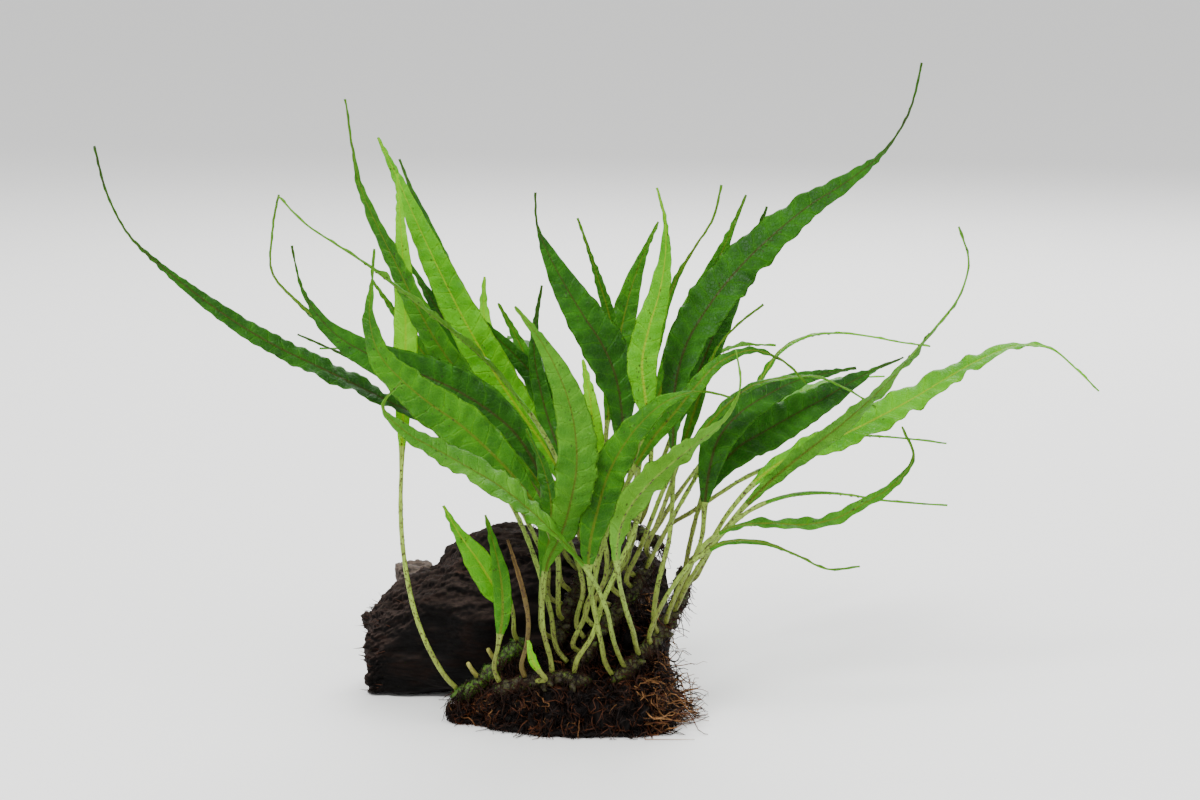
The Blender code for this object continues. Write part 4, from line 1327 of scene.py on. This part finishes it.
@dataclass
class Studio:
    """The camera, the lights and the floor."""

    crown: tuple[float, float, float] = (0.032, -0.020, 0.112)
    distance: float = 1.020
    elevation: float = 10.0
    lens: float = 85.0

    def build(self) -> None:
        """Set the camera, the lights and the floor."""
        self.camera()
        self.light("key", (-0.55, -1.05, 1.55), 0.6, 44.0)
        self.light("fill", (1.25, -0.75, 0.85), 0.9, 8.0)
        self.light("back", (0.30, 1.25, 1.15), 1.0, 30.0)
        self.sky()
        self.floor()

    def camera(self) -> None:
        """Place the camera before the crown and a little above it."""
        angle = math.radians(self.elevation)
        back = Vector((0.0, -math.cos(angle), math.sin(angle)))
        data = bpy.data.cameras.new("camera")
        data.lens = self.lens
        made = bpy.data.objects.new("camera", data)
        made.location = Vector(self.crown) + back * self.distance
        made.rotation_euler = (-back).to_track_quat("-Z", "Y").to_euler()
        bpy.context.collection.objects.link(made)
        bpy.context.scene.camera = made

    def light(self, name: str, spot: tuple[float, float, float], size: float, power: float) -> None:
        """Hang one soft square light that faces the crown.

        Args:
            name: the light's name.
            spot: where it hangs.
            size: the length of its side.
            power: its power in watts.
        """
        data = bpy.data.lights.new(name, "AREA")
        data.size = size
        data.energy = power
        made = bpy.data.objects.new(name, data)
        made.location = spot
        made.rotation_euler = (Vector(self.crown) - Vector(spot)).to_track_quat("-Z", "Y").to_euler()
        bpy.context.collection.objects.link(made)

    def sky(self) -> None:
        """Fill the room with plain soft white light."""
        world = bpy.data.worlds.new("room")
        world.use_nodes = True
        world.node_tree.nodes["Background"].inputs[0].default_value = (1.0, 1.0, 1.0, 1.0)
        world.node_tree.nodes["Background"].inputs[1].default_value = 1.1
        bpy.context.scene.world = world

    def floor(self) -> None:
        """Lay a wide pale floor under the log."""
        skin = Skin()
        half = 60000.0
        corners = np.array([[-half, -half, 0], [half, -half, 0], [half, half, 0], [-half, half, 0]], float)
        skin.add(corners, [[0, 1, 2, 3]], 0)
        skin.piece("floor", [FloorFinish().material("floor")])


# ---------------------------------------------------------------- assembly


@dataclass
class FernOnDriftwood:
    """The whole plant and its log."""

    slots: dict[str, str]
    leaf_materials: dict[LeafLook, list[bpy.types.Material]] = field(default_factory=dict)

    def build(self) -> None:
        """Make the wood, the roots, the rhizomes and the fronds, in that order."""
        self.build_wood()
        self.build_roots()
        self.build_rhizomes()
        self.build_fronds()

    def build_wood(self) -> None:
        """The log and its fork."""
        wood = WoodFinish().material("driftwood")
        torn = FibreFinish((0.004, 0.002, 0.0015), (0.060, 0.022, 0.011), 0.75).material("torn_fibres")
        # the fork: a less black wood than the log, with a strong painted grey highlight on its top, its
        # left-facing side and its raised edges
        grey = WoodFinish((0.012, 0.008, 0.006), (0.040, 0.025, 0.018), (0.170, 0.125, 0.100), 0.9, 0.2)
        report(Driftwood("driftwood_log", "driftwood_log_wood", [wood, torn], 11, 4, crumble=1.0,
                         splinters=130).build())
        report(Driftwood("driftwood_fork", "driftwood_fork_wood", [grey.material("fork_wood_painted_highlight")], 17,
                         knots=0.5).build())

    def build_roots(self) -> None:
        """The felt of roots."""
        # painted shade: the bed's finish is darker than any single root, standing for the dark roots and for
        # the shade deep inside the tangle
        bed_with_painted_shade = FibreFinish((0.0010, 0.0006, 0.0005), (0.0035, 0.0015, 0.0009), 0.85).material("root_bed_with_painted_shade")
        dark = FibreFinish((0.0025, 0.0011, 0.0008), (0.012, 0.0045, 0.0022), 0.5).material("dark_roots")
        rust = FibreFinish((0.020, 0.0062, 0.0024), (0.085, 0.026, 0.009), 0.45).material("rusty_roots")
        tan = FibreFinish((0.095, 0.038, 0.013), (0.300, 0.150, 0.055), 0.45).material("tan_roots")
        report(RootFelt("root_mat", "root_felt", [bed_with_painted_shade, dark, rust, tan], 23).build())

    def build_rhizomes(self) -> None:
        """Every creeping stem."""
        mossy = RhizomeFinish(moss_share=0.9).material("mossy_rhizome")
        bark = RhizomeFinish().material("rhizome_bark")
        stub = FibreFinish((0.10, 0.10, 0.015), (0.34, 0.32, 0.085), 0.5).material("cut_stubs")
        moss = FibreFinish((0.012, 0.050, 0.001), (0.070, 0.240, 0.006), 0.6).material("moss")
        hair = FibreFinish((0.003, 0.0013, 0.0009), (0.035, 0.012, 0.005), 0.5).material("root_hairs")
        cut = ((0.38, -0.75, 7.0), (0.62, -0.35, 6.0))
        report(Rhizome("rhizome_left", [mossy, stub, moss, hair], 41, stubs=cut, buds=1, tufts=900,
                       wraps=90).build())
        names = sorted(name for name in self.slots if name.startswith("rhizome") and name != "rhizome_left")
        for number, name in enumerate(names):
            report(Rhizome(name, [bark, stub, moss, hair], 48 + 7 * number).build())

    def build_fronds(self) -> None:
        """Every frond, each with the finish that its slot names."""
        for look, finish in LEAF_FINISHES.items():
            self.leaf_materials[look] = finish.materials(look.value)
        names = sorted(name for name in self.slots if name.startswith("frond"))
        for number, name in enumerate(names):
            look = LeafLook(self.slots[name])
            report(Frond(name, self.leaf_materials[look], look.value, 100 + number).build())


def report(piece: bpy.types.Object) -> None:
    """Say what was made, and from how many faces."""
    LOG.info("%s: %d faces", piece.name, len(piece.data.polygons))


def main() -> None:
    """Build everything."""
    logging.basicConfig(level=logging.INFO, format="%(message)s")
    slots = {part["node"]: part["material_slot"] for part in frame["record"]["subparts"]}
    Studio().build()
    FernOnDriftwood(slots).build()


if __name__ == "__main__":
    main()
